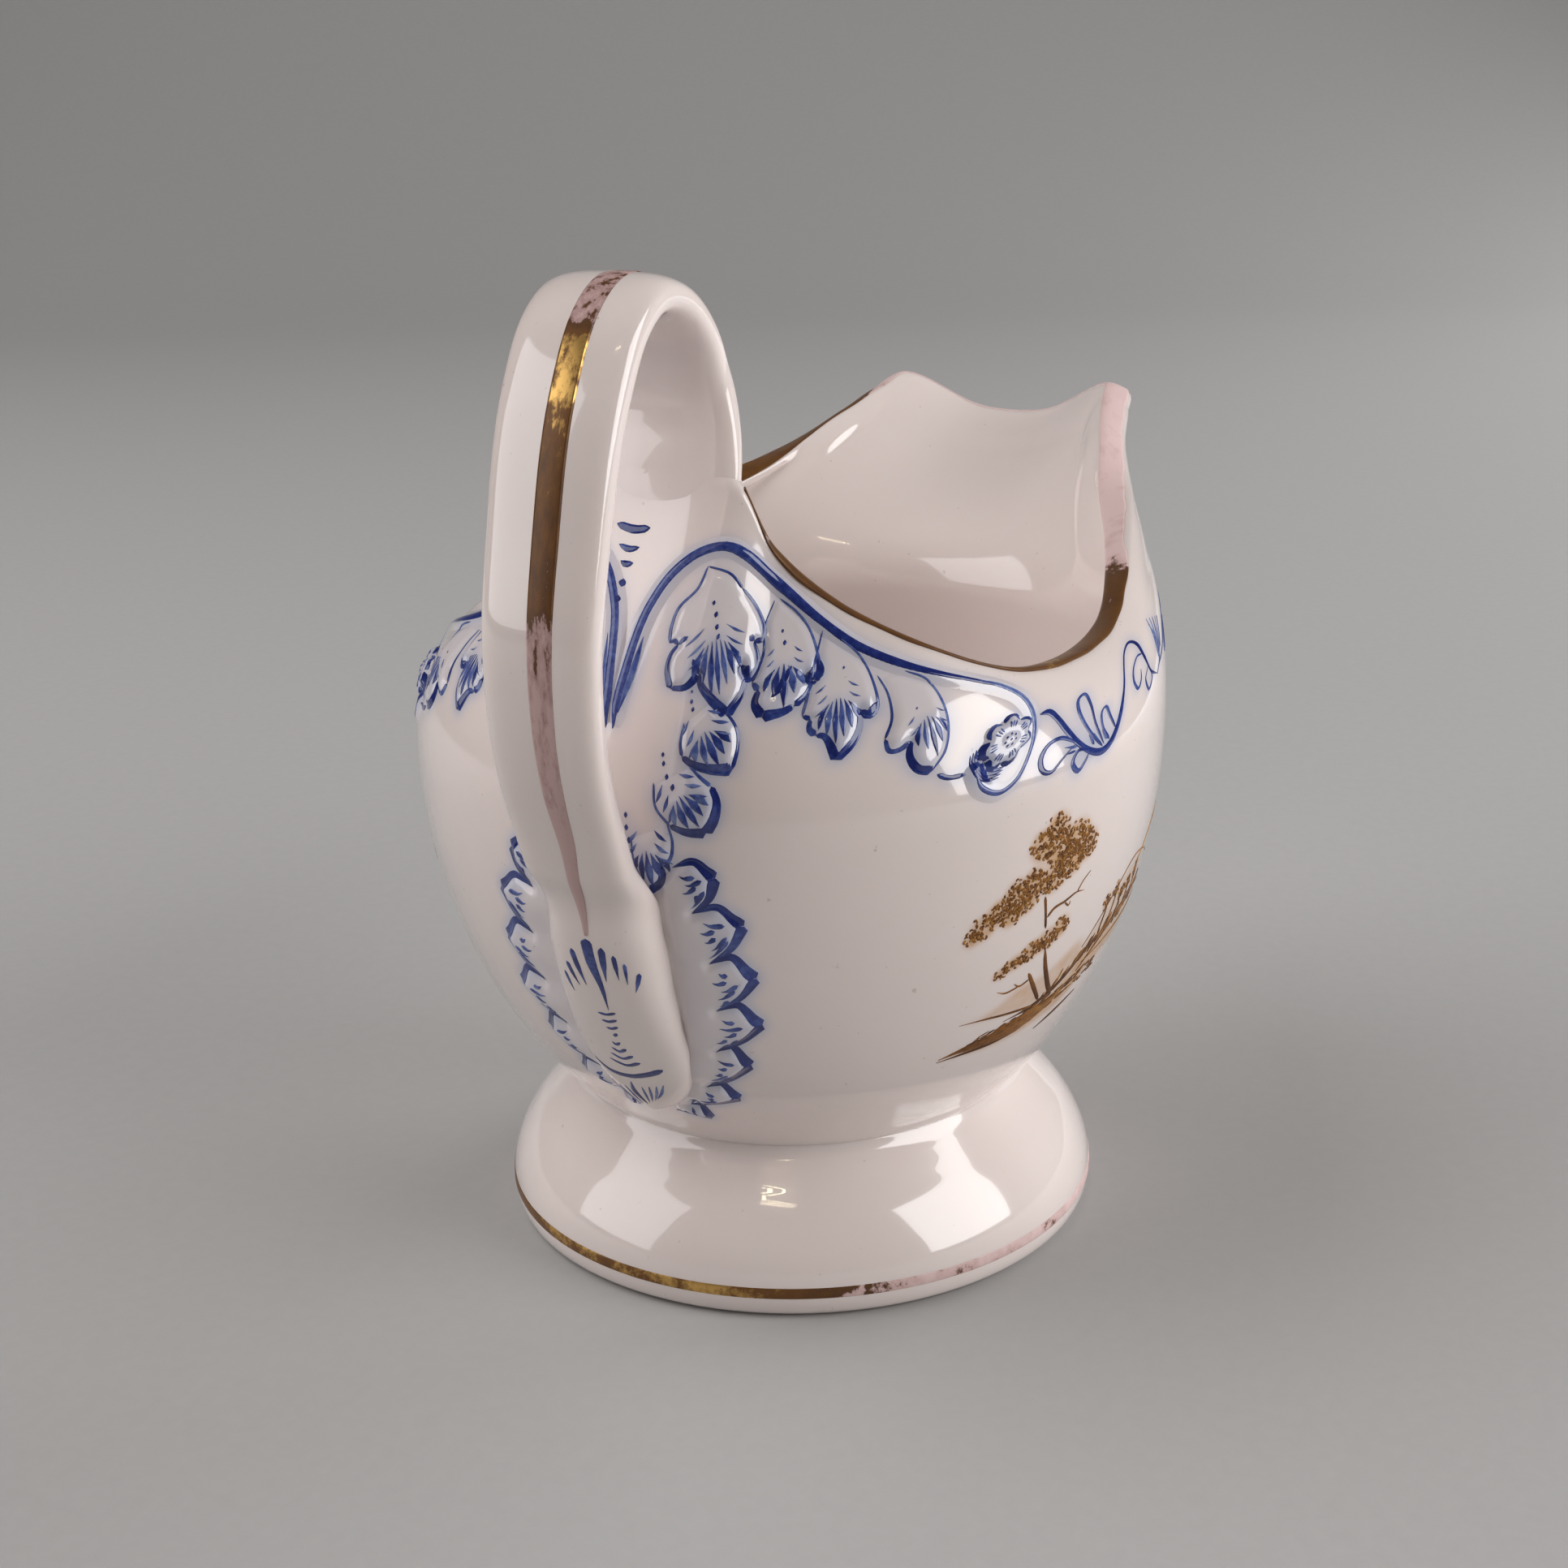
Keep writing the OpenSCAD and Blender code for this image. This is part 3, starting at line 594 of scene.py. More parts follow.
def side_strokes(paint, leaf, reach, count, weight=0.35, seed=5):
    """Hair strokes higher up in the leaf, leaning out from the middle."""
    heart, stalk = np.array(leaf["heart"]), np.array(leaf["stalk"])
    down = unit((heart - stalk)[None])[0]
    side = np.array([-down[1], down[0]])
    rnd = np.random.RandomState(seed)
    for k in range(count):
        for way in (-1, 1):
            start = heart - down * (0.6 + 1.25 * k) + side * way * (0.9 + 0.2 * rnd.rand())
            end = start + side * way * reach * (0.8 + 0.3 * rnd.rand()) + down * reach * 0.8
            paint.stroke([start, (start + end) / 2 + down * 0.12, end], [weight * 0.4, weight, weight * 0.5],
                         0.30 + 0.25 * rnd.rand(), taper=(0.4, 0.3), seed=seed + k)


spray = LEAVES["spray"]
for k, leaf in enumerate(spray):
    outline_leaf(blue["leaf_spray"], leaf, (0.95, 0.95, 0.85, 0.80)[k], seed=10 + k)
for k, (reach, spread, count, weight) in enumerate(((4.6, 2.6, 7, 0.78), (3.2, 2.0, 5, 0.95),
                                                    (3.6, 1.9, 6, 0.75),
                                                   (3.4, 1.4, 5, 0.58))):
    vein_fan(blue["leaf_spray"], spray[k], reach, spread, count, weight)
for k, (reach, count, weight) in enumerate(((1.9, 3, 0.35), (0.9, 3, 0.30), (1.0, 3, 0.30), (0.9, 2, 0.26))):
    side_strokes(blue["leaf_spray"], spray[k], reach, count, weight, 6 + k)
for points, weight, tone in (([(8.2, 18.6), (7.4, 20.0)], 0.7, 0.8), ([(5.5, 21.5), (6.4, 22.3)], 0.6, 0.7),
                             ([(13.5, 22.4), (12.7, 22.7)], 0.7, 0.8),
                             ([(13.9, 18.4), (12.9, 19.6)], 1.1, 0.9)):
    blue["leaf_spray"].stroke(points, weight, tone)
blue["leaf_spray"].stroke([(20.5, 20.6), (20.5, 18.8), (19.6, 18.0)], 1.7, 0.95, taper=(0.6, 0.2))
blue["leaf_spray"].stroke([(18.0, 19.6), (17.4, 17.6), (16.6, 16.2)], 1.0, 0.9)
blue["leaf_spray"].stroke([(26.6, 15.4), (26.0, 14.0), (25.2, 14.6)], 0.9, 0.9)
for c, r in (((7.9, 26.0), 0.20), ((8.4, 24.8), 0.26), ((8.8, 23.5), 0.24), ((9.2, 22.5), 0.24),
             ((16.5, 23.5), 0.18), ((16.9, 22.2), 0.24), ((23.0, 19.4), 0.14), ((30.2, 14.2), 0.12)):
    blue["leaf_spray"].dot(c, r, 0.8)
blue["leaf_spray"].stroke([(33.9, 6.7), (35.2, 6.1), (36.9, 6.1)], 0.65, 0.8, taper=(0.15, 0.15))

drop = LEAVES["drop"]
for k, leaf in enumerate(drop):
    outline_leaf(blue["leaf_drop"], leaf, 1.0, seed=30 + k)
    vein_fan(blue["leaf_drop"], leaf, 2.9, 2.0, 5, 0.95, seed=40 + k)
    side_strokes(blue["leaf_drop"], leaf, 1.5, 3, 0.50, 45 + k)
for c, r in (((7.9, 16.8), 0.14), ((8.1, 15.8), 0.20), ((8.4, 15.0), 0.20), ((6.2, 10.3), 0.20),
             ((6.4, 9.4), 0.22),
             ((6.9, 8.1), 0.24), ((7.7, 7.1), 0.28), ((2.8, 3.9), 0.24), ((2.9, 2.6), 0.26),
             ((3.2, 1.3), 0.28)):
    blue["leaf_drop"].dot(c, r, 0.8)

for k in range(len(FRILL)):
    start, rise, bulge, tip, back, end = scallop_run(k)
    blue["scallop_frill"].stroke([start, rise, bulge, tip], [0.35, 0.85, 1.1, 1.5], 0.92, taper=(0.25, 0.02),
                                 seed=50 + k)
    blue["scallop_frill"].stroke([tip, back, end], [1.5, 0.95, 0.4], 0.92, taper=(0.02, 0.3), seed=60 + k)
    reach = 0.80 - 0.05 * k
    for j in range(5):
        f = (j + 0.6) / 5.2
        inner_pt = start * (1 - f) + end * f + np.array([0.5 + 0.45 * math.sin(2.6 * j + k), -0.1])
        aim = tip * 0.55 + (start * (1 - f) + end * f) * 0.45
        v = (aim - inner_pt) * (0.75 + 0.3 * math.sin(1.7 * j + 2 * k))
        blue["scallop_frill"].stroke([inner_pt + v * 0.10, inner_pt + v * 0.5 - [0, 0.22],
                                      inner_pt + v * reach / 0.62],
                                     [0.25, 0.58, 0.70], 0.68, taper=(0.5, 0.2), seed=70 + 4 * k + j)

b = blue["shoulder_border"]
b.stroke(BORDER[:16], [0.9, 1.15, 1.0, 0.95, 0.95, 1.0, 1.1, 1.35, 1.35, 1.1, 0.95, 1.0, 0.95, 0.7, 0.5, 0.4],
         0.80,
         taper=(0.05, 0.03), wobble=0.10, seed=5)
b.stroke(BORDER[14:], [0.35, 0.55, 0.62, 0.60, 0.55, 0.55, 0.6, 0.65, 0.6, 0.45], 0.62, taper=(0.08, 0.1),
         seed=9)
b.stroke([(0.9, 14.0), (1.5, 18.0), (1.9, 22.0)], [0.45, 0.7, 0.3], 0.6, seed=10)

r = blue["rosette"]
for k in range(7):
    a0 = 2 * math.pi * (k - 0.5) / 7 - 0.09
    a = np.linspace(a0 + 0.05, a0 + 2 * math.pi / 7 - 0.05, 5)
    rr = 2.05 + 0.55 * np.sin(np.linspace(0, np.pi, 5)) ** 0.6
    pts = np.stack([ROSETTE[0] + rr * np.cos(a), ROSETTE[1] + rr * 1.25 * np.sin(a)], -1)
    dark = math.cos(a0 + 0.45 - math.radians(232)) > 0.2
    r.stroke(pts, 0.75 if dark else 0.50, 0.95 if dark else 0.65, taper=(0.15, 0.15), seed=k)
    for j in (-1, 0, 1):
        am = a0 + math.pi / 7 + 0.17 * j
        direction = np.array([math.cos(am), 1.25 * math.sin(am)])
        r.stroke([np.array(ROSETTE) + direction * 1.25, np.array(ROSETTE) + direction * 1.95], 0.24, 0.55,
                 seed=k + j)
for k in range(8):
    a = 2 * math.pi * k / 7
    radius = 0.0 if k == 7 else 0.55
    r.dot((ROSETTE[0] + radius * math.cos(a), ROSETTE[1] + radius * 1.3 * math.sin(a)), 0.15, 0.7, 1.1)
for k in range(4):
    a = np.radians(np.linspace(185 + 3 * k, 290 - 3 * k, 6))
    rr = 2.75 + 0.28 * k
    r.stroke(np.stack([ROSETTE[0] + rr * np.cos(a), ROSETTE[1] + rr * 1.22 * np.sin(a)], -1), 0.7 - 0.08 * k,
             0.95, seed=k)

v = blue["vine"]
v.stroke([(43.4, 12.0), (44.6, 12.1), (46.2, 10.8), (48.6, 8.4), (51.4, 5.9), (54.2, 4.0), (56.6, 3.2),
          (58.4, 4.0),
          (59.2, 6.4), (58.9, 10.4), (58.2, 14.4), (58.6, 16.8), (60.4, 17.8), (62.6, 16.4), (65.2, 12.8),
          (68.4, 8.8),
          (71.8, 6.8)], [1.0, 0.85, 0.9, 0.85, 0.8, 1.0, 1.3, 1.1, 0.6, 0.45, 0.45, 0.55, 0.75, 0.65, 0.5,
                         0.5, 0.35], 0.78,
         taper=(0.02, 0.05), seed=2)
v.stroke([(52.2, 5.4), (50.2, 6.6), (48.0, 7.6), (46.4, 7.2), (46.0, 5.6), (46.9, 4.0), (48.3, 3.5),
          (49.3, 4.4), (51.0, 6.0)],
         [0.3, 0.5, 0.6, 0.75, 0.85, 0.75, 0.55, 0.4, 0.25], 0.8, taper=(0.1, 0.1), seed=3)
v.stroke([(54.0, 4.2), (52.0, 4.8), (51.4, 3.6), (52.6, 2.3), (53.6, 3.1), (54.0, 4.0)],
         [0.4, 0.5, 0.65, 0.7, 0.5, 0.35], 0.75,
         taper=(0.1, 0.1), seed=4)
v.stroke([(56.4, 3.8), (53.0, 6.8), (50.0, 10.2), (48.8, 12.6), (49.8, 13.4), (51.6, 11.0), (53.6, 7.8),
          (56.6, 4.0)],
         [0.5, 0.45, 0.5, 0.6, 0.55, 0.4, 0.35, 0.45], 0.66, taper=(0.05, 0.1), seed=5)
v.stroke([(57.6, 4.2), (55.6, 6.4), (54.4, 8.8), (55.0, 9.6), (56.6, 7.6), (58.6, 5.2)],
         [0.5, 0.4, 0.45, 0.55, 0.45, 0.4], 0.66,
         taper=(0.05, 0.1), seed=6)
for k, (one, two) in enumerate((((53.0, 6.4), (54.6, 4.6)), ((54.0, 6.2), (55.6, 4.4)),
                                ((55.6, 6.0), (57.0, 4.4)),
                                ((49.6, 5.0), (51.4, 4.9)), ((49.2, 6.0), (51.4, 5.4)))):
    v.stroke([one, two], [0.2, 0.5], 0.55, taper=(0.5, 0.2), seed=k)
v.stroke([(64.4, 13.6), (62.4, 14.2), (61.2, 12.8), (61.8, 10.4), (63.6, 8.4), (64.4, 9.4), (64.0, 11.2)],
         [0.35, 0.5, 0.55, 0.5, 0.55, 0.45, 0.25], 0.66, taper=(0.1, 0.2), seed=8)
v.stroke([(67.0, 10.2), (66.2, 8.6), (67.8, 6.4), (69.0, 7.4), (68.6, 8.4)], [0.3, 0.45, 0.55, 0.45, 0.3],
         0.66, seed=9)
v.stroke([(71.8, 6.8), (73.4, 8.6), (71.6, 12.4), (68.6, 16.2)], [0.4, 0.5, 0.4, 0.25], 0.5, seed=10)
for k in range(5):
    v.stroke([(68.0 + 1.6 * k, 17.4 - 0.7 * k), (70.6 + 1.0 * k, 13.2 - 0.4 * k),
              (72.8 + 0.4 * k, 8.8 + 0.2 * k)],
             [0.2, 0.38, 0.3], 0.35, seed=20 + k)
v.stroke([(72.6, 7.6), (77.0, 9.0), (80.6, 12.6), (84.2, 14.0), (88.0, 12.2), (91.0, 8.2), (95.4, 7.0)],
         [0.7, 0.5, 0.45, 0.6, 0.5, 0.45, 0.3], 0.7, taper=(0.1, 0.2), seed=11)
for k, (x, y) in enumerate(((82.0, 11.0), (88.6, 9.0))):
    v.stroke([(x, y), (x - 2.6, y - 1.4), (x - 3.0, y - 3.8), (x - 1.2, y - 4.0), (x + 0.2, y - 1.0)],
             [0.3, 0.5, 0.55, 0.45, 0.3], 0.66, seed=30 + k)
    v.stroke([(x + 1.4, y - 1.0), (x + 0.6, y - 3.6), (x + 2.2, y - 4.4), (x + 2.6, y - 1.8)],
             [0.3, 0.45, 0.5, 0.3], 0.66, seed=40 + k)

neck = Paint(on_bowl)
neck.stroke([(-3.4, 33.5), (-1.6, 33.1), (0.0, 33.4)], [0.8, 1.1, 0.9], 0.85, taper=(0.15, 0.15))
neck.stroke([(-2.8, 31.4), (-1.7, 31.0), (-0.7, 31.3)], [0.5, 0.9, 0.6], 0.85, taper=(0.2, 0.2))
neck.stroke([(-2.3, 29.7), (-1.7, 29.4), (-1.0, 29.6)], [0.5, 0.85, 0.6], 0.8, taper=(0.25, 0.25))
for k, q0 in enumerate((27.4, 25.6, 23.9)):
    neck.dot((-1.6, q0), 0.40 - 0.04 * k, 0.8, 1.1)

# ---------------------------------------------------------------- landscape in brown, right side
sepia = Paint(on_bowl)
tan = []
rnd = random.Random(7)


def foliage(centre, rx, ry, lean, seed, density=7.5):
    """A clump of short curled dabs over a tan wash."""
    r = random.Random(seed)
    ca, sa = math.cos(math.radians(lean)), math.sin(math.radians(lean))
    for _ in range(int(density * rx * ry * 3.14)):
        a, d = r.random() * 2 * math.pi, math.sqrt(r.random())
        x, y = rx * d * math.cos(a), ry * d * math.sin(a)
        c = np.array([centre[0] + x * ca - y * sa, centre[1] + x * sa + y * ca])
        turn = r.random() * 2 * math.pi
        size = 0.20 + 0.12 * r.random()
        arc = [c + size * np.array([math.cos(turn + f), math.sin(turn + f)]) for f in (0, 1.1, 2.2)]
        sepia.stroke(arc, 0.24 + 0.18 * r.random(), 0.25 + 0.55 * r.random(), taper=(0.3, 0.3), step=0.14)
    tan.append((centre, rx * 1.08, ry * 1.08, lean))


for k, (centre, rx, ry, lean) in enumerate((
        ((50.2, -3.0), 1.5, 1.2, 0), ((48.0, -4.4), 1.6, 1.3, 0), ((50.6, -5.6), 1.9, 1.5, 0),
                                            ((53.4, -5.2), 2.0, 1.5, -20),
        ((55.2, -6.6), 1.5, 1.3, -20), ((52.4, -7.4), 2.2, 1.5, 0), ((50.0, -8.8), 1.9, 1.2, 10),
        ((47.2, -8.4), 1.7, 1.3, 10), ((45.0, -9.2), 1.7, 1.4, 15), ((46.2, -10.4), 1.6, 1.0, 15),
                                            ((43.0, -10.4), 1.7, 1.1, 15),
        ((40.8, -11.8), 1.5, 1.1, 20), ((39.6, -12.8), 0.9, 0.7, 20), ((44.4, -11.6), 1.2, 0.8, 15),
        ((52.6, -15.6), 1.1, 1.0, 0), ((50.6, -16.4), 1.7, 1.0, 12), ((48.4, -17.0), 1.6, 0.9, 12),
        ((46.2, -17.8), 1.4, 0.7, 15), ((44.4, -18.6), 1.0, 0.5, 18))):
    foliage(centre, 1.05 * rx, 1.3 * ry, lean, k)
sepia.stroke([(49.0, -10.6), (49.4, -12.4), (49.9, -14.8)], [0.5, 0.45, 0.5], 0.75, taper=(0.1, 0.1))
sepia.stroke([(50.6, -17.6), (51.6, -20.4), (53.2, -23.4), (54.8, -25.6)], [0.45, 0.75, 0.85, 0.8], 0.85,
             taper=(0.15, 0.1))
sepia.stroke([(48.8, -20.2), (50.4, -22.6), (52.4, -25.4)], [0.55, 0.7, 0.6], 0.9, taper=(0.1, 0.1))
sepia.stroke([(49.8, -13.4), (50.8, -12.6), (52.4, -12.4), (54.2, -12.0), (55.8, -12.3)],
             [0.45, 0.4, 0.35, 0.25, 0.15], 0.65,
             taper=(0.05, 0.3))
sepia.stroke([(52.4, -12.5), (53.2, -13.2), (53.4, -12.7)], [0.35, 0.3, 0.2], 0.65)
sepia.stroke([(54.4, -12.0), (55.2, -11.0), (56.4, -10.2)], [0.25, 0.2, 0.15], 0.55, taper=(0.1, 0.4))
sepia.stroke([(49.2, -21.2), (47.8, -21.6), (46.8, -20.9)], [0.35, 0.3, 0.2], 0.6, taper=(0.1, 0.3))
sepia.stroke([(47.6, -21.6), (45.8, -21.8), (44.4, -21.2)], [0.3, 0.3, 0.15], 0.6, taper=(0.1, 0.4))
sepia.stroke([(38.4, -29.4), (41.4, -28.9), (45.4, -28.6), (50.0, -28.0), (54.4, -27.0), (58.0, -25.8)],
             [0.4, 1.7, 2.6, 2.8, 2.3, 1.2], 0.45, taper=(0.30, 0.3), wobble=0.25, seed=1)
sepia.stroke([(38.2, -29.8), (42.0, -29.6), (46.0, -29.6), (50.4, -29.2)], [0.2, 0.6, 0.6, 0.3], 1.0,
             wobble=0.2, seed=2)
sepia.stroke([(40.0, -24.5), (43.6, -24.8), (47.8, -25.4), (52.4, -26.0)], [0.12, 0.35, 0.45, 0.5], 0.6,
             taper=(0.3, 0.1))
sepia.stroke([(47.0, -26.4), (51.0, -26.0), (55.0, -24.8), (58.4, -22.6), (61.0, -20.4)],
             [0.25, 0.5, 0.7, 0.8, 0.5], 0.8,
             wobble=0.25, seed=3)
sepia.stroke([(54.6, -30.8), (58.0, -29.6), (62.0, -28.2)], [0.3, 0.7, 0.4], 0.9, wobble=0.2, seed=4)
sepia.stroke([(59.4, -24.4), (62.6, -22.0), (66.4, -20.0), (70.6, -18.8), (76.0, -19.4)],
             [0.5, 0.9, 0.8, 0.6, 0.3], 0.7,
             wobble=0.3, seed=5)
for k in range(34):
    x = 52.0 + 0.62 * k
    y = -26.0 + (x - 52.0) * (0.50 if x < 62 else 0.16) + (5.0 - 1.6 if x >= 62 else 0) + rnd.uniform(-0.8,
                                                                                                      0.4)
    sepia.stroke([(x, y), (x + 0.7, y + rnd.uniform(0.5, 1.5)), (x + 1.2, y + rnd.uniform(0.9, 2.2))],
                 0.25 + 0.45 * rnd.random(), 0.45 + 0.5 * rnd.random(), seed=k)
for k in range(90):
    x = rnd.uniform(42, 64)
    y = -29.4 + (x - 42) * 0.17 + rnd.uniform(-0.5, 1.6)
    sepia.stroke([(x, y), (x + rnd.uniform(0.7, 2.0), y + rnd.uniform(0.1, 0.5))], 0.2 + 0.2 * rnd.random(),
                 0.6 + 0.4 * rnd.random(), seed=k)
sepia.stroke([(58.6, -20.8), (63.0, -16.6), (68.0, -13.6), (73.0, -14.4), (78.0, -17.0)],
             [0.12, 0.25, 0.25, 0.12], 0.3)
sepia.stroke([(70.0, -15.0), (75.0, -12.4), (79.6, -11.6), (86.0, -14.4), (92.0, -16.6)],
             [0.12, 0.22, 0.25, 0.12], 0.28)
for k in range(5):
    x = 62.0 + 2.1 * k
    sepia.stroke([(x, -20.4 + 0.4 * k), (x + 0.4, -17.6 + 0.8 * math.sin(k)), (x + 0.3, -16.0)],
                 [0.5, 0.35, 0.15], 0.7)
    foliage((x + 0.2, -16.4 + 0.6 * math.sin(2 * k)), 0.8, 1.0, 0, 30 + k, 8.0)
sepia.stroke([(60.0, -23.4), (70.0, -22.0), (80.0, -21.6), (92.0, -22.4), (104.0, -23.6)],
             [0.5, 0.6, 0.45, 0.2], 0.5, wobble=0.3)

# ---------------------------------------------------------------- washes as vertex values
FIELD_STEP = 0.25
FIELD_BOX = (-2.0, 110.0, -42.0, 36.0)
fp = int((FIELD_BOX[1] - FIELD_BOX[0]) / FIELD_STEP) + 1
fq = int((FIELD_BOX[3] - FIELD_BOX[2]) / FIELD_STEP) + 1


def blur(field, sigma):
    r = int(3 * sigma) + 1
    k = np.exp(-np.arange(-r, r + 1) ** 2 / (2 * sigma ** 2))
    k /= k.sum()
    field = np.apply_along_axis(lambda v: np.convolve(v, k, "same"), 0, field)
    return np.apply_along_axis(lambda v: np.convolve(v, k, "same"), 1, field)


def stamp_field(paints, reach):
    """How close the nearest blue paint lies: 1 on a stroke, falling to 0 over the reach."""
    f = np.zeros((fp, fq))
    for paint in paints:
        for stamps in paint.stamps:
            i = np.clip(((stamps[:, 0] - FIELD_BOX[0]) / FIELD_STEP).round().astype(int), 0, fp - 1)
            j = np.clip(((stamps[:, 1] - FIELD_BOX[2]) / FIELD_STEP).round().astype(int), 0, fq - 1)
            np.maximum.at(f, (i, j), np.clip(stamps[:, 2], 0.25, 1.2))
    return 1 - np.exp(-9.0 * blur(f, reach / FIELD_STEP))


FP, FQ = np.meshgrid(FIELD_BOX[0] + FIELD_STEP * np.arange(fp), FIELD_BOX[2] + FIELD_STEP * np.arange(fq),
                     indexing="ij")
halo = 0.85 * stamp_field(blue.values(), 0.7)
moulded = np.zeros((fp, fq))
for outline in [leaf_outline(leaf) for group in LEAVES.values() for leaf in group] + [frill_outline(),
                                                                                      rosette_outline()]:
    moulded = np.maximum(moulded, ease(-0.3, 0.5, inside_distance(outline, FP, FQ)))
halo = np.maximum(halo, blur(0.20 * moulded, 1.5))
wash = np.zeros((fp, fq))
for (cx, cy), rx, ry, lean in tan:
    ca, sa = math.cos(math.radians(lean)), math.sin(math.radians(lean))
    x, y = (FP - cx) * ca + (FQ - cy) * sa, -(FP - cx) * sa + (FQ - cy) * ca
    wash = np.maximum(wash, 0.9 * (1 - ease(0.75, 1.2, np.hypot(x / rx, y / ry))))
# Ground, slope and far hills: strength, where the edge fades out and in, points sampled, outline
for strength, low, high, count, outline in (
        (0.95, -0.5, 0.7, 90, [(38.6, -29.4), (44, -28.2), (50, -26.8), (56, -25.0), (61, -20.6), (66, -19.0),
                               (76, -19.4),
                               (90, -20.6), (104, -23.0), (92, -24.6), (76, -24.4), (64, -24.8), (58, -28.4),
                               (48, -30.0)]),
        (0.62, -0.4, 0.9, 70, [(40.6, -24.6), (44.6, -23.6), (47.8, -21.6), (52.0, -21.4), (55.0, -20.0),
                               (57.6, -19.2),
                               (59.0, -21.0), (57.0, -24.2), (52.0, -25.8), (46.0, -25.4)]),
        (0.55, -0.4, 0.8, 80, [(58, -21), (63, -17), (68, -14.0), (72, -14.0), (75, -13.0), (79, -12.0),
                               (85, -14.4),
                               (93, -17), (93, -21), (76, -21), (62, -22)])):
    wash = np.maximum(wash, strength * ease(low, high, inside_distance(path(outline, count, True), FP, FQ)))
wash = blur(wash, 1.0)


def field_at(field, p, q):
    return lookup(field, FIELD_BOX, FIELD_STEP, p, q)


P, Q = flatten(S, T)
outer_halo, outer_wash = field_at(halo, P, Q), field_at(wash, P, Q)
zeros = np.zeros(len(body_verts) - outer_halo.size)
body = make("porcelain_body", body_verts, [quads, np.concatenate(caps)],
            attributes={"halo": np.concatenate([outer_halo.ravel(), zeros]),
                        "wash": np.concatenate([outer_wash.ravel(), zeros])})

# ---------------------------------------------------------------- relief patches
def relief_patch(name, height, mirror):
    """Closed low pad that rises out of the glaze. Its underside lies inside the wall."""
    keep_v = height > -0.06
    keep = keep_v[:-1, :-1] | keep_v[1:, :-1] | keep_v[:-1, 1:] | keep_v[1:, 1:]
    used = np.zeros(height.shape, bool)
    used[:-1, :-1] |= keep
    used[1:, :-1] |= keep
    used[:-1, 1:] |= keep
    used[1:, 1:] |= keep
    p, q, h = RP[used], RQ[used], np.maximum(height[used], -0.12)
    s, t = unroll(p, q)
    t = np.minimum(t, 0.97)
    base, nrm = skin(2 - s, t), skin_normal(2 - s, t)
    top, under = base + nrm * h[:, None], base - nrm * 0.35
    index = np.full(height.shape, -1)
    index[used] = np.arange(used.sum())
    count = int(used.sum())
    # p runs away from the handle, which on this side is the same way as s
    upper = np.stack([index[:-1, :-1][keep], index[1:, :-1][keep], index[1:, 1:][keep], index[:-1, 1:][keep]],
                     -1)
    verts, faces = np.concatenate([top, under]), shell_faces(upper, count)
    if mirror:
        verts, faces = mirrored(verts), faces[:, ::-1]
    glow = field_at(halo, p, q)
    return make(name, verts, [faces], attributes={
        "halo": np.concatenate([glow, glow]), "wash": np.zeros(2 * count),
        "crest": np.concatenate([np.maximum(h, 0), 0 * h])})


relief = {}
for key, height in HEIGHTS.items():
    for side, mirror in BOTH_SIDES:
        relief[key + "_" + side] = relief_patch("relief_" + key + "_" + side, height, mirror)

painted = {}
for key, paint in blue.items():
    for side, mirror in BOTH_SIDES:
        painted[key + "_" + side] = paint.build("paint_" + key + "_" + side, mirror)
for side, mirror in BOTH_SIDES:
    painted["landscape_" + side] = sepia.build("landscape_" + side, mirror)

# ---------------------------------------------------------------- foot
FOOT = [(34.0, 0), (34.8, 0.7), (35.2, 2.2), (35.1, 4.2), (34.6, 6.2), (33.6, 8.4), (32.0, 10.8),
        (30.0, 13.0),
        (28.2, 14.9), (27.2, 16.0), (26.75, 16.9)]
FOOT_IN = [(26.0, 16.8), (21.0, 16.8), (22.5, 13.8), (27.0, 7.0), (29.9, 1.6), (30.6, 0.25), (31.4, 0)]
outer_profile = spline(FOOT, np.linspace(0, 1, 70))
outer_profile[:, 1] = np.clip(outer_profile[:, 1], 0, None)
profile = np.concatenate([outer_profile, [(26.4, 17.3)], FOOT_IN])
a = np.linspace(0, 2 * np.pi, 360, endpoint=False)
rings = np.stack([np.outer(profile[:, 0], np.cos(a)), np.outer(profile[:, 0], np.sin(a)),
                  np.repeat(profile[:, 1:2], len(a), 1)], -1)
faces = loft(len(profile) + 1, len(a))
faces = faces % (len(profile) * len(a))
foot = make("porcelain_foot", rings.reshape(-1, 3), faces)

# ---------------------------------------------------------------- handle
STRAP = np.array([
    (-26, 93), (-25.2, 97.5), (-25.5, 102), (-27.8, 107), (-32, 110.7), (-37, 111.6), (-41.6, 108.9),
                  (-45.2, 103.5),
    (-47.6, 98), (-49.6, 91), (-51.7, 82), (-52, 74), (-51, 67), (-48.6, 60), (-46, 53), (-44.2, 46),
                  (-41.9, 39),
    (-38.8, 32), (-36, 27), (-33.9, 24)], float)
STRAP_T, TIP_T = 4.4, 2.2            # thickness of the strap and of its tip
TIP_Z, PAD_SET_Z, PAD_START_Z = 24.0, 50, 57   # the pad's tip, where it lies flat, where it starts to settle
ROOT_W, LOOP_W, LOW_W, PAD_W = 18, 13.8, 12.2, 12.8
SQUARE_ACROSS, SQUARE_THROUGH = 0.62, 0.72     # under 1 these powers square off the strap's section


def strap_half(u, z):
    """Half the strap's width."""
    upper = ROOT_W + (LOOP_W - ROOT_W) * ease(0, 0.13, u)
    middle = LOOP_W + (LOW_W - LOOP_W) * ease(0.3, 0.7, u)
    swell = LOW_W + (PAD_W - LOW_W) * ease(51, 46, z)
    narrow = np.sqrt(1 - np.clip((36 - z) / (36 - TIP_Z + 0.05), 0, 0.995) ** 2.4)
    return np.where(u < 0.3, upper, np.where(z > 51, middle, swell * narrow)) / 2


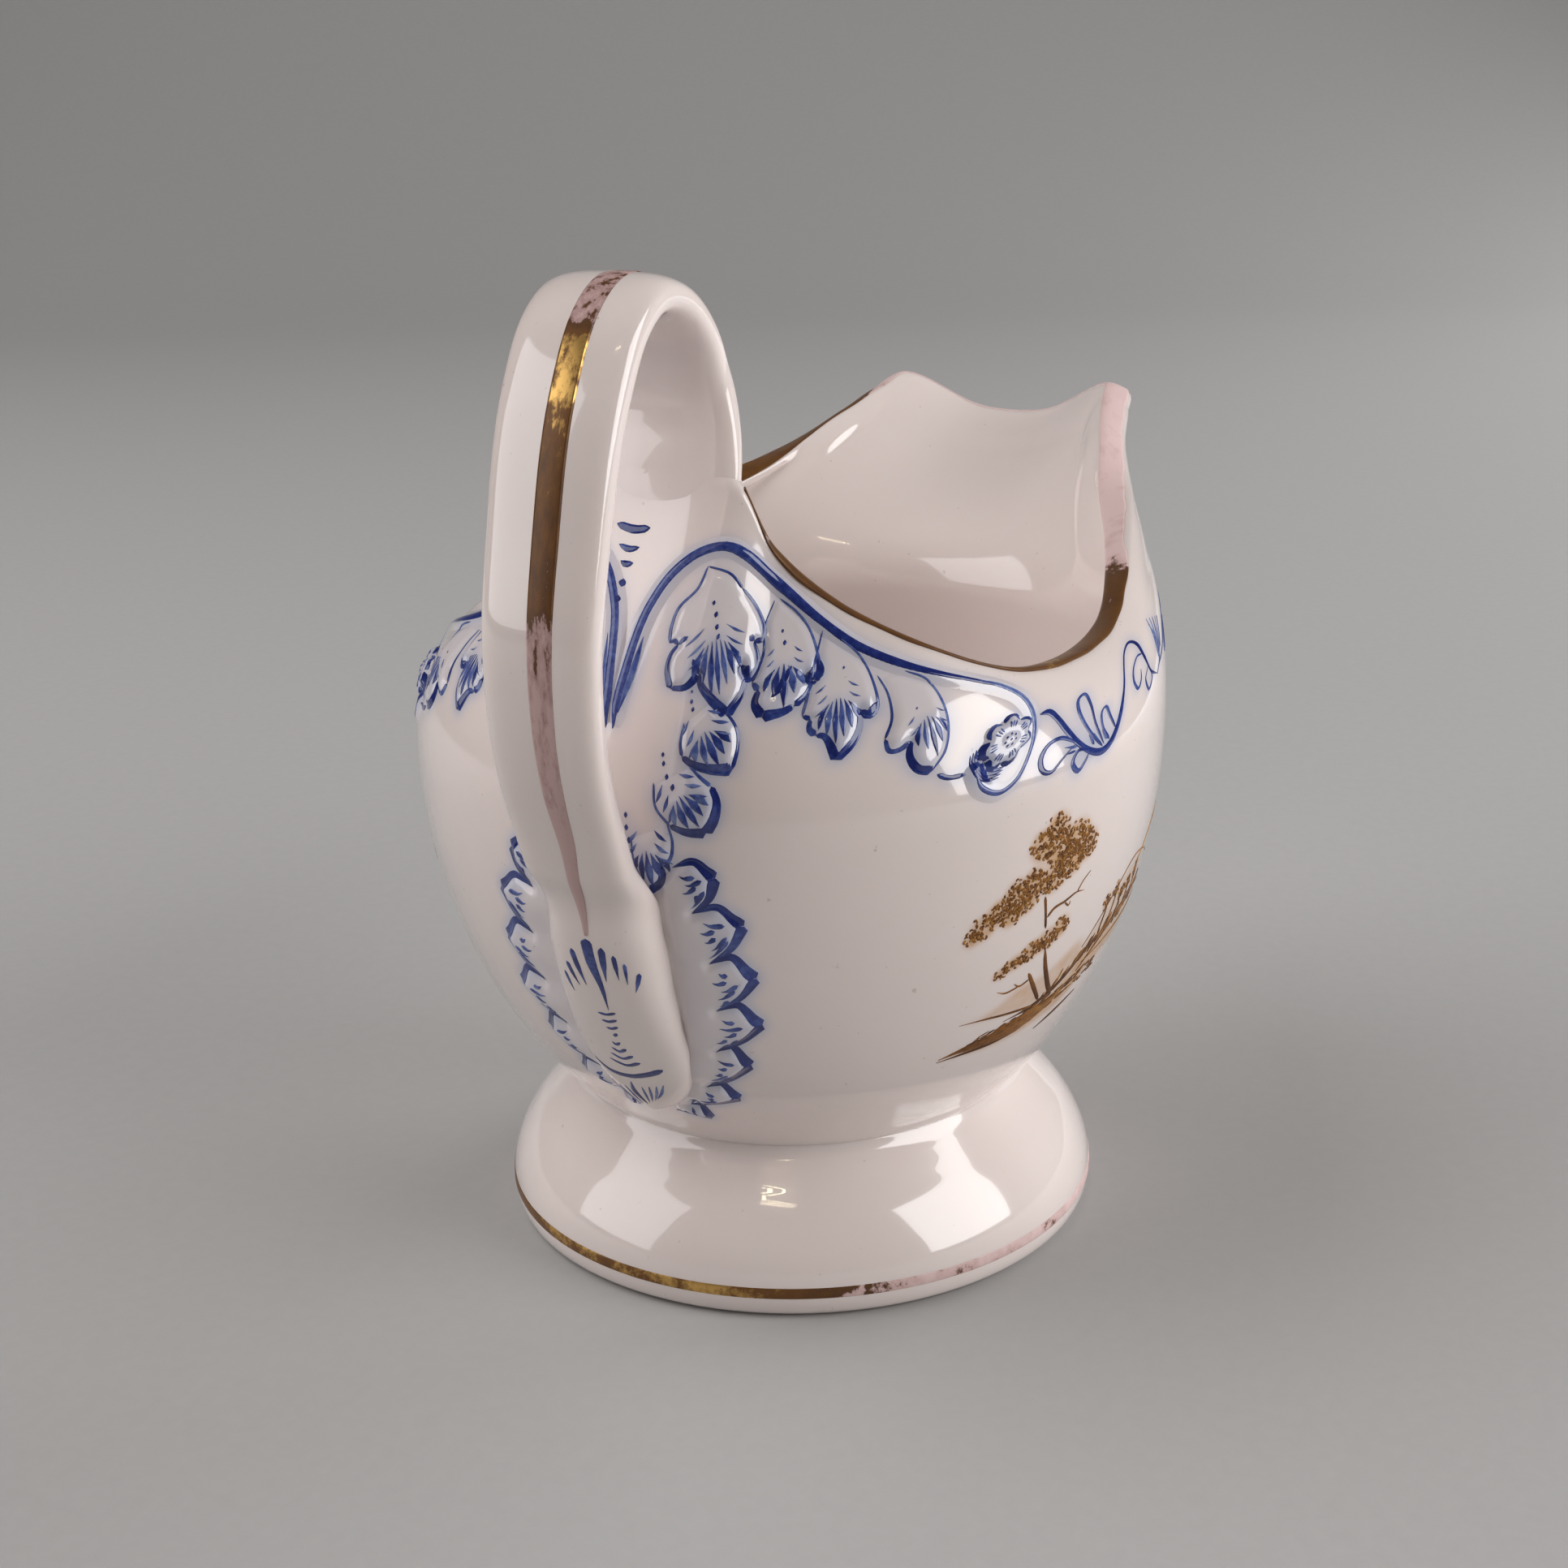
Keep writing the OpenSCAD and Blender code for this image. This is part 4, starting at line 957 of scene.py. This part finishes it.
def bowl_x(z, y):
    """The back of the bowl, up to the belly."""
    up = np.minimum(0, z - BELLY_BACK_Z) / ((BELLY_BACK_Z - SEAT_Z) / math.sin(SEAT_ANGLE))
    r2 = BELLY ** 2 * (1 - up ** 2)
    return -np.sqrt(np.maximum(r2 - y ** 2, 1))


RINGS, SIDES = 420, 56
u = np.linspace(0, 1, RINGS)
mid = spline(STRAP, u)
way = unit(np.gradient(mid, axis=0))
square = np.stack([way[:, 1], -way[:, 0]], -1)
ang = 2 * np.pi * np.arange(SIDES) / SIDES
ca = np.sign(np.cos(ang)) * np.abs(np.cos(ang)) ** SQUARE_ACROSS
sa = np.sign(np.sin(ang)) * np.abs(np.sin(ang)) ** SQUARE_THROUGH
half = strap_half(u, mid[:, 1])
settle = ease(PAD_START_Z, PAD_SET_Z, mid[:, 1]) * (u > 0.5)
level = np.maximum(settle, ease(0.03, 0, u))[:, None]
facing = np.where(u < 0.5, 1, -1)[:, None] * np.array([1, 0])
direction = square * (1 - level) + facing * level
free = mid[:, None, :] + direction[:, None, :] * (sa * STRAP_T / 2)[None, :, None]


def pad_thickness(z):
    return STRAP_T + (TIP_T - STRAP_T) * ease(PAD_SET_Z, TIP_Z, z)


pad_t = pad_thickness(mid[:, 1])
y = half[:, None] * ca[None, :]
laid = bowl_x(mid[:, 1:2], y) - np.maximum(0, sa)[None, :] * pad_t[:, None] + 0.4 * (sa < 0)[None, :]
x = free[..., 0] * (1 - settle[:, None]) + laid * settle[:, None]
strap = np.stack([x, y, free[..., 1]], -1)
# The root grows out of the wall: it starts inside the neck and comes out flush with both faces at the rim
s_back = np.linspace(0.88, 1, 60)
s_of_y = np.interp(np.abs(y[0]), skin(s_back, 1.0)[::-1, 1], s_back[::-1])
s_root = np.where(y[0] < 0, 2 - s_of_y, s_of_y)
root_rings = []
for below in (7.0, 5.6, 4.4, 3.4, 2.5, 1.7, 1.0, 0.4, 0.0):
    out_face, in_face = skin(s_root, 1 - 0.0138 * below), inner(s_root, 1 - 0.0138 * below)
    proud = 0.035 * ease(5.0, 0.5, below) - 0.03 * ease(2.0, 6.0, below)
    share = ((1 - sa) / 2 * (1 + 2 * proud) - proud)[:, None]
    root_rings.append(in_face * (1 - share) + out_face * share)
shift = (root_rings[-1] - strap[0])[None] * (1 - ease(0, 0.11, u))[:, None, None]
strap = np.concatenate([np.array(root_rings[:-1]), strap + shift])
ALL_RINGS = len(strap)
hubs = np.array([strap[0].mean(axis=0), [bowl_x(TIP_Z, 0.0) - 0.8, 0, TIP_Z - 0.2]])
strap_verts = np.concatenate([strap.reshape(-1, 3), hubs])
strap_faces = [loft(ALL_RINGS, SIDES),
               np.concatenate([fan(ALL_RINGS * SIDES, np.arange(SIDES)[::-1]),
                               fan(ALL_RINGS * SIDES + 1, (ALL_RINGS - 1) * SIDES + np.arange(SIDES))])]
handle = make("porcelain_handle", strap_verts, strap_faces)

# ---------------------------------------------------------------- materials
def material(name):
    mat = bpy.data.materials.new(name)
    mat.use_nodes = True
    tree = mat.node_tree
    tree.nodes.clear()
    out = tree.nodes.new("ShaderNodeOutputMaterial")
    shader = tree.nodes.new("ShaderNodeBsdfPrincipled")
    tree.links.new(shader.outputs[0], out.inputs[0])
    return mat, tree, shader


def fill(made, **values):
    """Sets a node's inputs by name, with _ for a space, to a number or from another node."""
    for key, value in values.items():
        plug(made, made.inputs[key.replace("_", " ")], value)
    return made


def plug(made, socket, value):
    if isinstance(value, bpy.types.NodeSocket):
        made.id_data.links.new(value, socket)
    elif isinstance(value, tuple) and socket.type == "RGBA":
        socket.default_value = (*value, 1)
    else:
        socket.default_value = value


def node(tree, kind, **values):
    return fill(tree.nodes.new(kind), **values)


def calc(tree, operation, *values):
    made = tree.nodes.new("ShaderNodeMath")
    made.operation = operation
    for socket, value in zip(made.inputs, values):
        plug(made, socket, value)
    return made.outputs[0]


def ramp(tree, source, stops):
    r = tree.nodes.new("ShaderNodeValToRGB")
    e = r.color_ramp.elements
    while len(e) < len(stops):
        e.new(0.5)
    for element, (pos, col) in zip(e, stops):
        element.position = pos
        element.color = (*col, 1)
    tree.links.new(source, r.inputs[0])
    return r.outputs[0]


def mix(tree, factor, a, b):
    m = tree.nodes.new("ShaderNodeMix")
    m.data_type = "RGBA"
    for value, socket in ((factor, m.inputs[0]), (a, m.inputs[6]), (b, m.inputs[7])):
        plug(m, socket, value)
    return m.outputs[2]


def noise(tree, scale, detail=4.0, rough=0.55, stretch=None):
    coords = tree.nodes.new("ShaderNodeTexCoord")
    n = node(tree, "ShaderNodeTexNoise", Scale=scale, Detail=detail, Roughness=rough)
    place = coords.outputs["Object"]
    if stretch:
        place = node(tree, "ShaderNodeMapping", Scale=stretch, Vector=place).outputs[0]
    return fill(n, Vector=place).outputs["Fac"]


def attribute(tree, name):
    a = tree.nodes.new("ShaderNodeAttribute")
    a.attribute_name = name
    return a.outputs["Fac"]


def bump(tree, shader, height, strength, distance):
    b = node(tree, "ShaderNodeBump", Strength=strength, Distance=distance, Height=height)
    fill(shader, Normal=b.outputs[0])


GLAZE_A, GLAZE_B = (0.795, 0.695, 0.665), (0.83, 0.735, 0.705)


def grey(value):
    return (value, value, value)


def glaze():
    mat, tree, shader = material("porcelain_glaze")
    base = mix(tree, noise(tree, 60.0), GLAZE_A, GLAZE_B)
    speck = ramp(tree, noise(tree, 900.0, 2.0), [(0.0, grey(0)), (0.73, grey(0)), (0.78, grey(1))])
    base = mix(tree, speck, base, (0.62, 0.54, 0.48))
    base = mix(tree, calc(tree, "MULTIPLY", attribute(tree, "halo"), 0.95), base, (0.38, 0.46, 0.68))
    grain = ramp(tree, noise(tree, 420.0), [(0.25, grey(0.55)), (0.7, grey(1))])
    base = mix(tree, calc(tree, "MULTIPLY", attribute(tree, "wash"), grain), base, (0.55, 0.265, 0.055))
    fill(shader, Base_Color=base, Roughness=0.13, IOR=1.5, Subsurface_Weight=0.12, Subsurface_Scale=0.6,
         Subsurface_Radius=(0.004, 0.003, 0.0025), Coat_Weight=1.0, Coat_Roughness=0.006)
    uneven = calc(tree, "MULTIPLY_ADD", noise(tree, 75.0, 1.0), 1.6, noise(tree, 330.0, 2.0))
    bump(tree, shader, uneven, 0.07, 0.00006)
    return mat


def pigment(name, grain_scale, grain, stops, **looks):
    """Paint that breaks up in fine grain round each stroke's own tone."""
    mat, tree, shader = material(name)
    speckled = calc(tree, "MULTIPLY_ADD", noise(tree, grain_scale, 3.0), grain, attribute(tree, "tone"))
    tone = calc(tree, "SUBTRACT", speckled, grain / 2)
    fill(shader, Base_Color=ramp(tree, tone, stops), **looks)
    return mat


def gilt(name, scale=260.0, stretch=(1, 1, 1), ground=((0.62, 0.43, 0.41), (0.72, 0.54, 0.53))):
    """Worn gilding: bright metal, a dull brown where it is rubbed, and the ground where it is gone; the
    ground is pink, and darker on the handle, where the darkening is painted shade.
    """
    mat, tree, shader = material(name)
    worn = calc(tree, "ADD", noise(tree, scale, 6.0, 0.7, stretch), attribute(tree, "gone"))
    colour = ramp(tree, worn, [(0.30, (0.76, 0.47, 0.15)), (0.46, (0.17, 0.075, 0.022)),
                                        (0.78, (0.10, 0.042, 0.016)), (0.84, ground[0]), (1.0, ground[1])])
    metal = ramp(tree, worn, [(0.30, grey(1)), (0.46, grey(0.2)), (0.78, grey(0.05)), (0.84, grey(0))])
    fill(shader, Base_Color=colour, Metallic=metal, Roughness=0.34, Specular_IOR_Level=0.3)
    bump(tree, shader, noise(tree, 1500.0, 3.0), 0.15, 0.00004)
    return mat


PORCELAIN = glaze()
COBALT = pigment("cobalt_under_glaze", 1400.0, 0.9,
                 [(0.0, (0.22, 0.29, 0.50)), (0.40, (0.075, 0.115, 0.34)), (0.75, (0.022, 0.042, 0.21)),
                  (1.0, (0.010, 0.020, 0.14))], Roughness=0.09, Coat_Weight=0.4, Coat_Roughness=0.03)
SEPIA = pigment("sepia_over_glaze", 1500.0, 0.8,
                [(0.0, (0.46, 0.24, 0.06)), (0.4, (0.26, 0.105, 0.022)), (0.9, (0.080, 0.028, 0.006))],
                Roughness=0.28, Specular_IOR_Level=0.2)
RIM_GILT = gilt("worn_rim_gilding")
# The handle's copy has a darker, browner ground than the rim's: painted shade for the strap's shaded middle.
HANDLE_GILT_WITH_PAINTED_SHADE = gilt("worn_handle_gilding_with_painted_shade", 900.0, (1, 1, 0.28), ((0.40, 0.25, 0.235), (0.55, 0.38, 0.365)))
FOOT_GILT = gilt("worn_foot_gilding", 300.0)


def dress(obj, mat, slot, *nodes):
    obj.data.materials.clear()
    obj.data.materials.append(mat)
    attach(obj, "root")
    if nodes:
        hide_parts(*nodes)


# ---------------------------------------------------------------- gilding
FILM, FILM_ROOT, SHELL_ROOT = 0.05, 0.10, 0.12   # how far gilding stands out of the glaze and reaches into it


def gilding_strip(name, left, right, normal, gone):
    """Closed thin strip between two lines of points, crowned a little."""
    n = len(left)
    rows = []
    for f, h in ((0.0, -FILM_ROOT * 0.3), (0.12, FILM), (0.5, FILM * 1.2), (0.88, FILM),
                 (1.0, -FILM_ROOT * 0.3),
                 (0.5, -FILM_ROOT)):
        rows.append(left * (1 - f) + right * f + normal * h)
    ring = np.stack(rows, 1)
    m = ring.shape[1]
    return make(name, ring.reshape(-1, 3), [loft(n, m), strip_ends(n, m)],
                attributes={"gone": np.repeat(gone, m)})


outer_face = mid + square * (STRAP_T / 2)
span = (u > 0.185) & (u < 0.765)
z_line = mid[span, 1]
centre_y = -1.0 * ease(52, 62, z_line)
width = np.interp(z_line, [49, 56, 66, 80, 90], [0.35, 1.5, 2.5, 2.9, 3.1])
width = width * np.sqrt(np.clip((u[span] - 0.180) / 0.02, 0.05, 1))
gone = np.interp(z_line, [48, 60, 74, 82, 85, 92, 100, 103, 107.5, 109, 112],
                 [0.62, 0.58, 0.46, 0.36, 0.16, 0.10, 0.06, -0.16, -0.14, 0.40, 0.50])
gone = np.where((u[span] < 0.5) & (z_line > 109), 0.36, gone)
gone = np.where(u[span] < 0.25, 0.33, gone)
base = np.stack([outer_face[span, 0], centre_y, outer_face[span, 1]], -1)
pad_line = bowl_x(z_line, centre_y) - np.interp(z_line, [TIP_Z, PAD_SET_Z], [TIP_T, STRAP_T])
blend = ease(PAD_START_Z, PAD_SET_Z, z_line)
base[:, 0] = base[:, 0] * (1 - blend) + pad_line * blend
nrm = np.stack([square[span, 0], 0 * z_line, square[span, 1]], -1)
side = np.array([0, 1, 0]) * (width / 2)[:, None]
handle_gilding = gilding_strip("gilding_handle", base + side, base - side, nrm, gone)


def gilt_shell(name, top, normal, gone, thickness):
    """Closed shell over a grid of points."""
    rows, columns = top.shape[:2]
    verts = np.concatenate([(top + normal * thickness).reshape(-1, 3),
                            (top - normal * SHELL_ROOT).reshape(-1, 3)])
    i, j = np.meshgrid(np.arange(rows - 1), np.arange(columns - 1), indexing="ij")
    a = (i * columns + j).ravel()
    upper = np.stack([a, a + columns, a + columns + 1, a + 1], -1)
    return make(name, verts, [shell_faces(upper, rows * columns)],
                attributes={"gone": np.concatenate([gone.ravel(), gone.ravel()])})


# Way round the rim: 0 at the handle, 1 at the lip along the right side, 2 at the handle along the left side
way_round = np.linspace(0.066, 1.934, 560)
inner_edge = np.interp(way_round, [0, 0.22, 0.30, 0.38, 0.80, 1.0, 1.25, 1.9],
                       [136, 136, 142, 158, 164, 150, 150, 150])
outer_edge = np.interp(way_round, [0, 0.07, 0.10, 0.48, 0.53, 0.57, 0.80, 0.90, 1.0, 1.10, 1.25, 1.6, 2.0],
                       [66, 50, 12, 8, 20, 58, 66, 62, 70, 80, 60, 60, 80])
gilt_span = inner_edge - outer_edge
gilt_span = gilt_span + 2.5 * np.sin(way_round * 61) + 2 * np.sin(way_round * 147 + 1)
across_f = np.linspace(0, 1, 12)
degrees = inner_edge[:, None] - gilt_span[:, None] * across_f[None, :]
s_rim = (1 + way_round)[:, None] + 0 * degrees
top = rim_cap(s_rim, degrees)
normal = unit(np.cross(rim_cap(s_rim + 0.002, degrees) - rim_cap(s_rim - 0.002, degrees),
                       rim_cap(s_rim, degrees - 2) - rim_cap(s_rim, degrees + 2)))
normal *= np.sign((normal * (top - 0.5 * (skin(s_rim, T_EDGE) + inner(s_rim, T_EDGE)))).sum(-1))[..., None]
gone_round = np.interp(way_round, [0.05, 0.28, 0.36, 0.46, 0.52, 0.545, 0.70, 0.86, 1.0, 1.13, 1.165, 1.20,
                                   1.45, 1.93],
                       [0.12, 0.10, 0.00, 0.14, 0.20, 0.46, 0.54, 0.52, 0.60, 0.56, 0.32, 0.14, 0.12, 0.14])
gone = gone_round[:, None] + 0 * degrees
if np.einsum("k,k", np.cross(top[0, 1] - top[0, 0], top[1, 0] - top[0, 0]), normal[0, 0]) > 0:
    top, normal, gone = top[:, ::-1], normal[:, ::-1], gone[:, ::-1]
film = np.interp(way_round, [0.20, 0.30, 0.40, 0.46], [0.15, 0.28, 0.24, 0.07])[:, None, None]
rim_gilding = gilt_shell("gilding_rim", top, normal, gone, film)

ang2 = np.linspace(0, 2 * np.pi, 361)
FOOT_LINE = 2.5, 3.9     # heights between which the foot's gilt line runs
foot_curve = spline(FOOT, np.linspace(0, 1, 400))
lo, hi = (np.interp(z, foot_curve[:, 1], foot_curve[:, 0])
          * np.stack([np.cos(ang2), np.sin(ang2), 0 * ang2], -1) + [0, 0, z] for z in FOOT_LINE)
out_dir = np.stack([np.cos(ang2), np.sin(ang2), 0 * ang2], -1)
deg = np.degrees(ang2)
gone = np.interp((deg - 180) % 360, [0, 12, 22, 36, 46, 75, 130, 200, 280, 330, 360],
                 [-0.12, -0.14, 0.02, 0.24, 0.42, 0.44, 0.40, 0.20, 0.15, -0.02, -0.12])
foot_gilding = gilding_strip("gilding_foot", hi, lo, out_dir, gone)

# ---------------------------------------------------------------- painting on the handle's pad
def on_pad(p, z, height):
    """p across the pad (positive away from -Y), z up."""
    w = strap_half(np.full(z.shape, 0.8), z)
    c = np.clip(np.abs(p) / np.maximum(w, 0.3), 0, 0.98) ** (1 / SQUARE_ACROSS)
    crown = np.sqrt(np.clip(1 - c ** 2, 0, 1)) ** SQUARE_THROUGH
    return np.stack([bowl_x(z, p) - crown * pad_thickness(z) - height, p, z], -1)


pad = Paint(on_pad)
pad.stroke([(0.2, 48.5), (0.0, 45.6), (-0.5, 42.6), (-0.5, 39.6)], [1.5, 1.35, 0.7, 0.25], 0.9,
           taper=(0.05, 0.25))
for k, (x, z, dx, dz, w) in enumerate(((2.2, 47.0, -0.9, -4.4, 0.85), (3.2, 45.2, -1.0, -2.8, 0.65),
                                       (3.9, 43.8, -0.7, -2.4, 0.5),
                                       (-1.5, 47.7, 0.2, -4.2, 0.95), (-2.7, 46.9, -0.1, -3.0, 0.65),
                                       (-3.7, 46.0, 0.1, -2.6, 0.45), (-4.9, 44.8, 0.7, -2.4, 0.5))):
    pad.stroke([(x, z), (x + dx * 0.45, z + dz * 0.5), (x + dx, z + dz)], [w, w * 0.9, w * 0.35], 0.75,
               taper=(0.12, 0.5), seed=k)
for k, half_w in enumerate((1.1, 0.95, 0.75, 0.3)):
    pad.stroke([(half_w - 0.1, 39.0 - k), (0, 38.9 - k), (-half_w - 0.1, 39.3 - k)], 0.42, 0.8,
               taper=(0.2, 0.2), seed=k)
for k, half_w in enumerate((0.4, 0.8, 1.3, 1.8)):
    z = 34.8 - 0.95 * k
    pad.stroke([(half_w + 0.3, z + 0.1), (0.3, z - 0.3 - 0.1 * k), (0.1 - half_w, z + 0.2)], [0.3, 0.45, 0.5],
               0.75,
               taper=(0.2, 0.15), seed=k)
pad.stroke([(4.7, 31.3), (3.0, 29.8), (0.4, 29.6), (-2.2, 30.5), (-3.9, 31.4)], [0.5, 0.7, 0.75, 0.8, 0.8],
           0.95, taper=(0.2, 0.08))
pad.stroke([(0.9, 28.6), (1.1, 26.8), (0.3, 25.0)], [0.4, 0.8, 0.4], 0.9)
for k, (x, z) in enumerate(((4.0, 27.8), (3.0, 27.4), (2.1, 27.6), (-0.2, 28.0), (-1.2, 28.3), (-2.2, 28.6),
                            (-3.1, 28.9))):
    pad.stroke([(x, z), (x * 0.75, z - 1.5), (x * 0.45, z - 2.7)], [0.35, 0.4, 0.2], 0.55, seed=k)
pad_paint = pad.build("paint_handle_pad")
neck_paint = neck.build("paint_neck")

# ---------------------------------------------------------------- dress every piece
for key, obj in (("body", body), ("foot", foot), ("handle", handle)):
    dress(obj, PORCELAIN, "porcelain", key)
for key, obj in relief.items():
    dress(obj, PORCELAIN, "painted_relief", key)
for key, obj in painted.items():
    dress(obj, SEPIA if key.startswith("landscape") else COBALT, "painted_relief")
dress(pad_paint, COBALT, "painted_relief")
dress(neck_paint, COBALT, "painted_relief")
for key, obj, mat in (("handle_gilding", handle_gilding, HANDLE_GILT_WITH_PAINTED_SHADE), ("rim_gilding", rim_gilding, RIM_GILT),
                      ("foot_gilding", foot_gilding, FOOT_GILT)):
    dress(obj, mat, "gilding", key)

# ---------------------------------------------------------------- floor, light, camera
# A sheet of grey paper that curves up behind the jug
BEND, BEND_R = 0.75, 0.55                # in metres: where it starts to curve, and the curve's radius
NEAR_END, TOP_END, HALF_SHEET, GAP = -2.5, 2.6, 2.6, 0.0001   # the gap keeps it clear of the foot's face
run = [(NEAR_END, 0.0)] + [(x, 0.0) for x in np.linspace(-0.6, BEND, 12)]
run += [(BEND + BEND_R * math.sin(f), BEND_R * (1 - math.cos(f))) for f in np.linspace(0.1, math.pi / 2, 16)]
run += [(BEND + BEND_R, TOP_END)]
ahead_x, ahead_y = 0.8942, 0.4477        # the camera's direction over the floor
sheet = [(x * ahead_x - w * ahead_y, x * ahead_y + w * ahead_x, z - GAP)
         for x, z in run for w in (-HALF_SHEET, HALF_SHEET)]
sheet_faces = np.array([[2 * k, 2 * k + 2, 2 * k + 3, 2 * k + 1] for k in range(len(run) - 1)])
floor = make("floor_sheet", np.array(sheet) / MM, [sheet_faces])
mat, tree, shader = material("floor_paper")
weave = mix(tree, noise(tree, 500.0, 2.0), (0.40, 0.395, 0.392), (0.43, 0.425, 0.422))
fill(shader, Base_Color=weave, Roughness=0.8, Specular_IOR_Level=0.15)
floor.data.materials.append(mat)

world = bpy.data.worlds.new("studio")
bpy.context.scene.world = world
world.use_nodes = True
world.node_tree.nodes["Background"].inputs[0].default_value = (1.0, 0.87, 0.80, 1)
world.node_tree.nodes["Background"].inputs[1].default_value = 0.07


AIM = Vector((0, 0, 0.05))


def softbox(name, azimuth, elevation, distance, size, watts, color):
    """A rectangular light, placed by direction from the jug in degrees."""
    az, el = math.radians(azimuth), math.radians(elevation)
    place = AIM + distance * Vector((math.cos(el) * math.cos(az), math.cos(el) * math.sin(az), math.sin(el)))
    data = bpy.data.lights.new(name, "AREA")
    data.shape = "RECTANGLE"
    data.size, data.size_y = size
    data.energy = watts
    data.color = color
    obj = bpy.data.objects.new(name, data)
    obj.location = place
    obj.rotation_mode = "QUATERNION"
    obj.rotation_quaternion = (AIM - place).to_track_quat("-Z", "Y")
    bpy.context.scene.collection.objects.link(obj)
    return obj


softbox("window_left", 132, 22, 0.95, (0.62, 0.72), 2.7, (1, 0.985, 0.985))
softbox("window_right", -88, 22, 0.95, (0.66, 0.72), 6.6, (1, 0.99, 0.98))
# Three soft fills stand in for the room and don't show in reflections
softbox("side", -30, 14, 1.0, (0.7, 0.5), 6.5, (0.98, 0.99, 1)).visible_glossy = False
softbox("wall_left", 100, 20, 1.0, (0.7, 0.7), 1.4, (1, 0.99, 0.98)).visible_glossy = False
softbox("ceiling", 110, 56, 1.1, (0.8, 0.8), 5.5, (1, 0.98, 0.97)).visible_glossy = False
for k in range(4):
    softbox("lamp_bar_" + str(k), -167.5 + 0.4 * k, 53.9 + 0.45 * k, 1.0, (0.20, 0.0022), 0.03,
            (1, 0.86, 0.55))

FOCAL_LENGTHS = 3000 / 1932              # focal length over the sensor's width
ROLL = 1.49                              # the photo's tilt in degrees
camera_data = bpy.data.cameras.new("camera")
camera_data.sensor_width = 36.0
camera_data.lens = 36.0 * FOCAL_LENGTHS
camera_data.clip_start, camera_data.clip_end = 0.01, 20
camera = bpy.data.objects.new("camera", camera_data)
bpy.context.scene.collection.objects.link(camera)
place = Vector((-0.2408, -0.1227, 0.1421))
ahead = (Vector((-0.0004, 0.0009, 0.0504)) - place).normalized()
level = ahead.cross(Vector((0, 0, 1))).normalized()
roll = Matrix.Rotation(math.radians(ROLL), 3, ahead)
across_axis = roll @ level
upward = across_axis.cross(ahead)
camera.matrix_world = Matrix.Translation(place) @ Matrix((across_axis, upward, -ahead)).transposed().to_4x4()
bpy.context.scene.camera = camera
bpy.context.scene.view_settings.view_transform = "Standard"
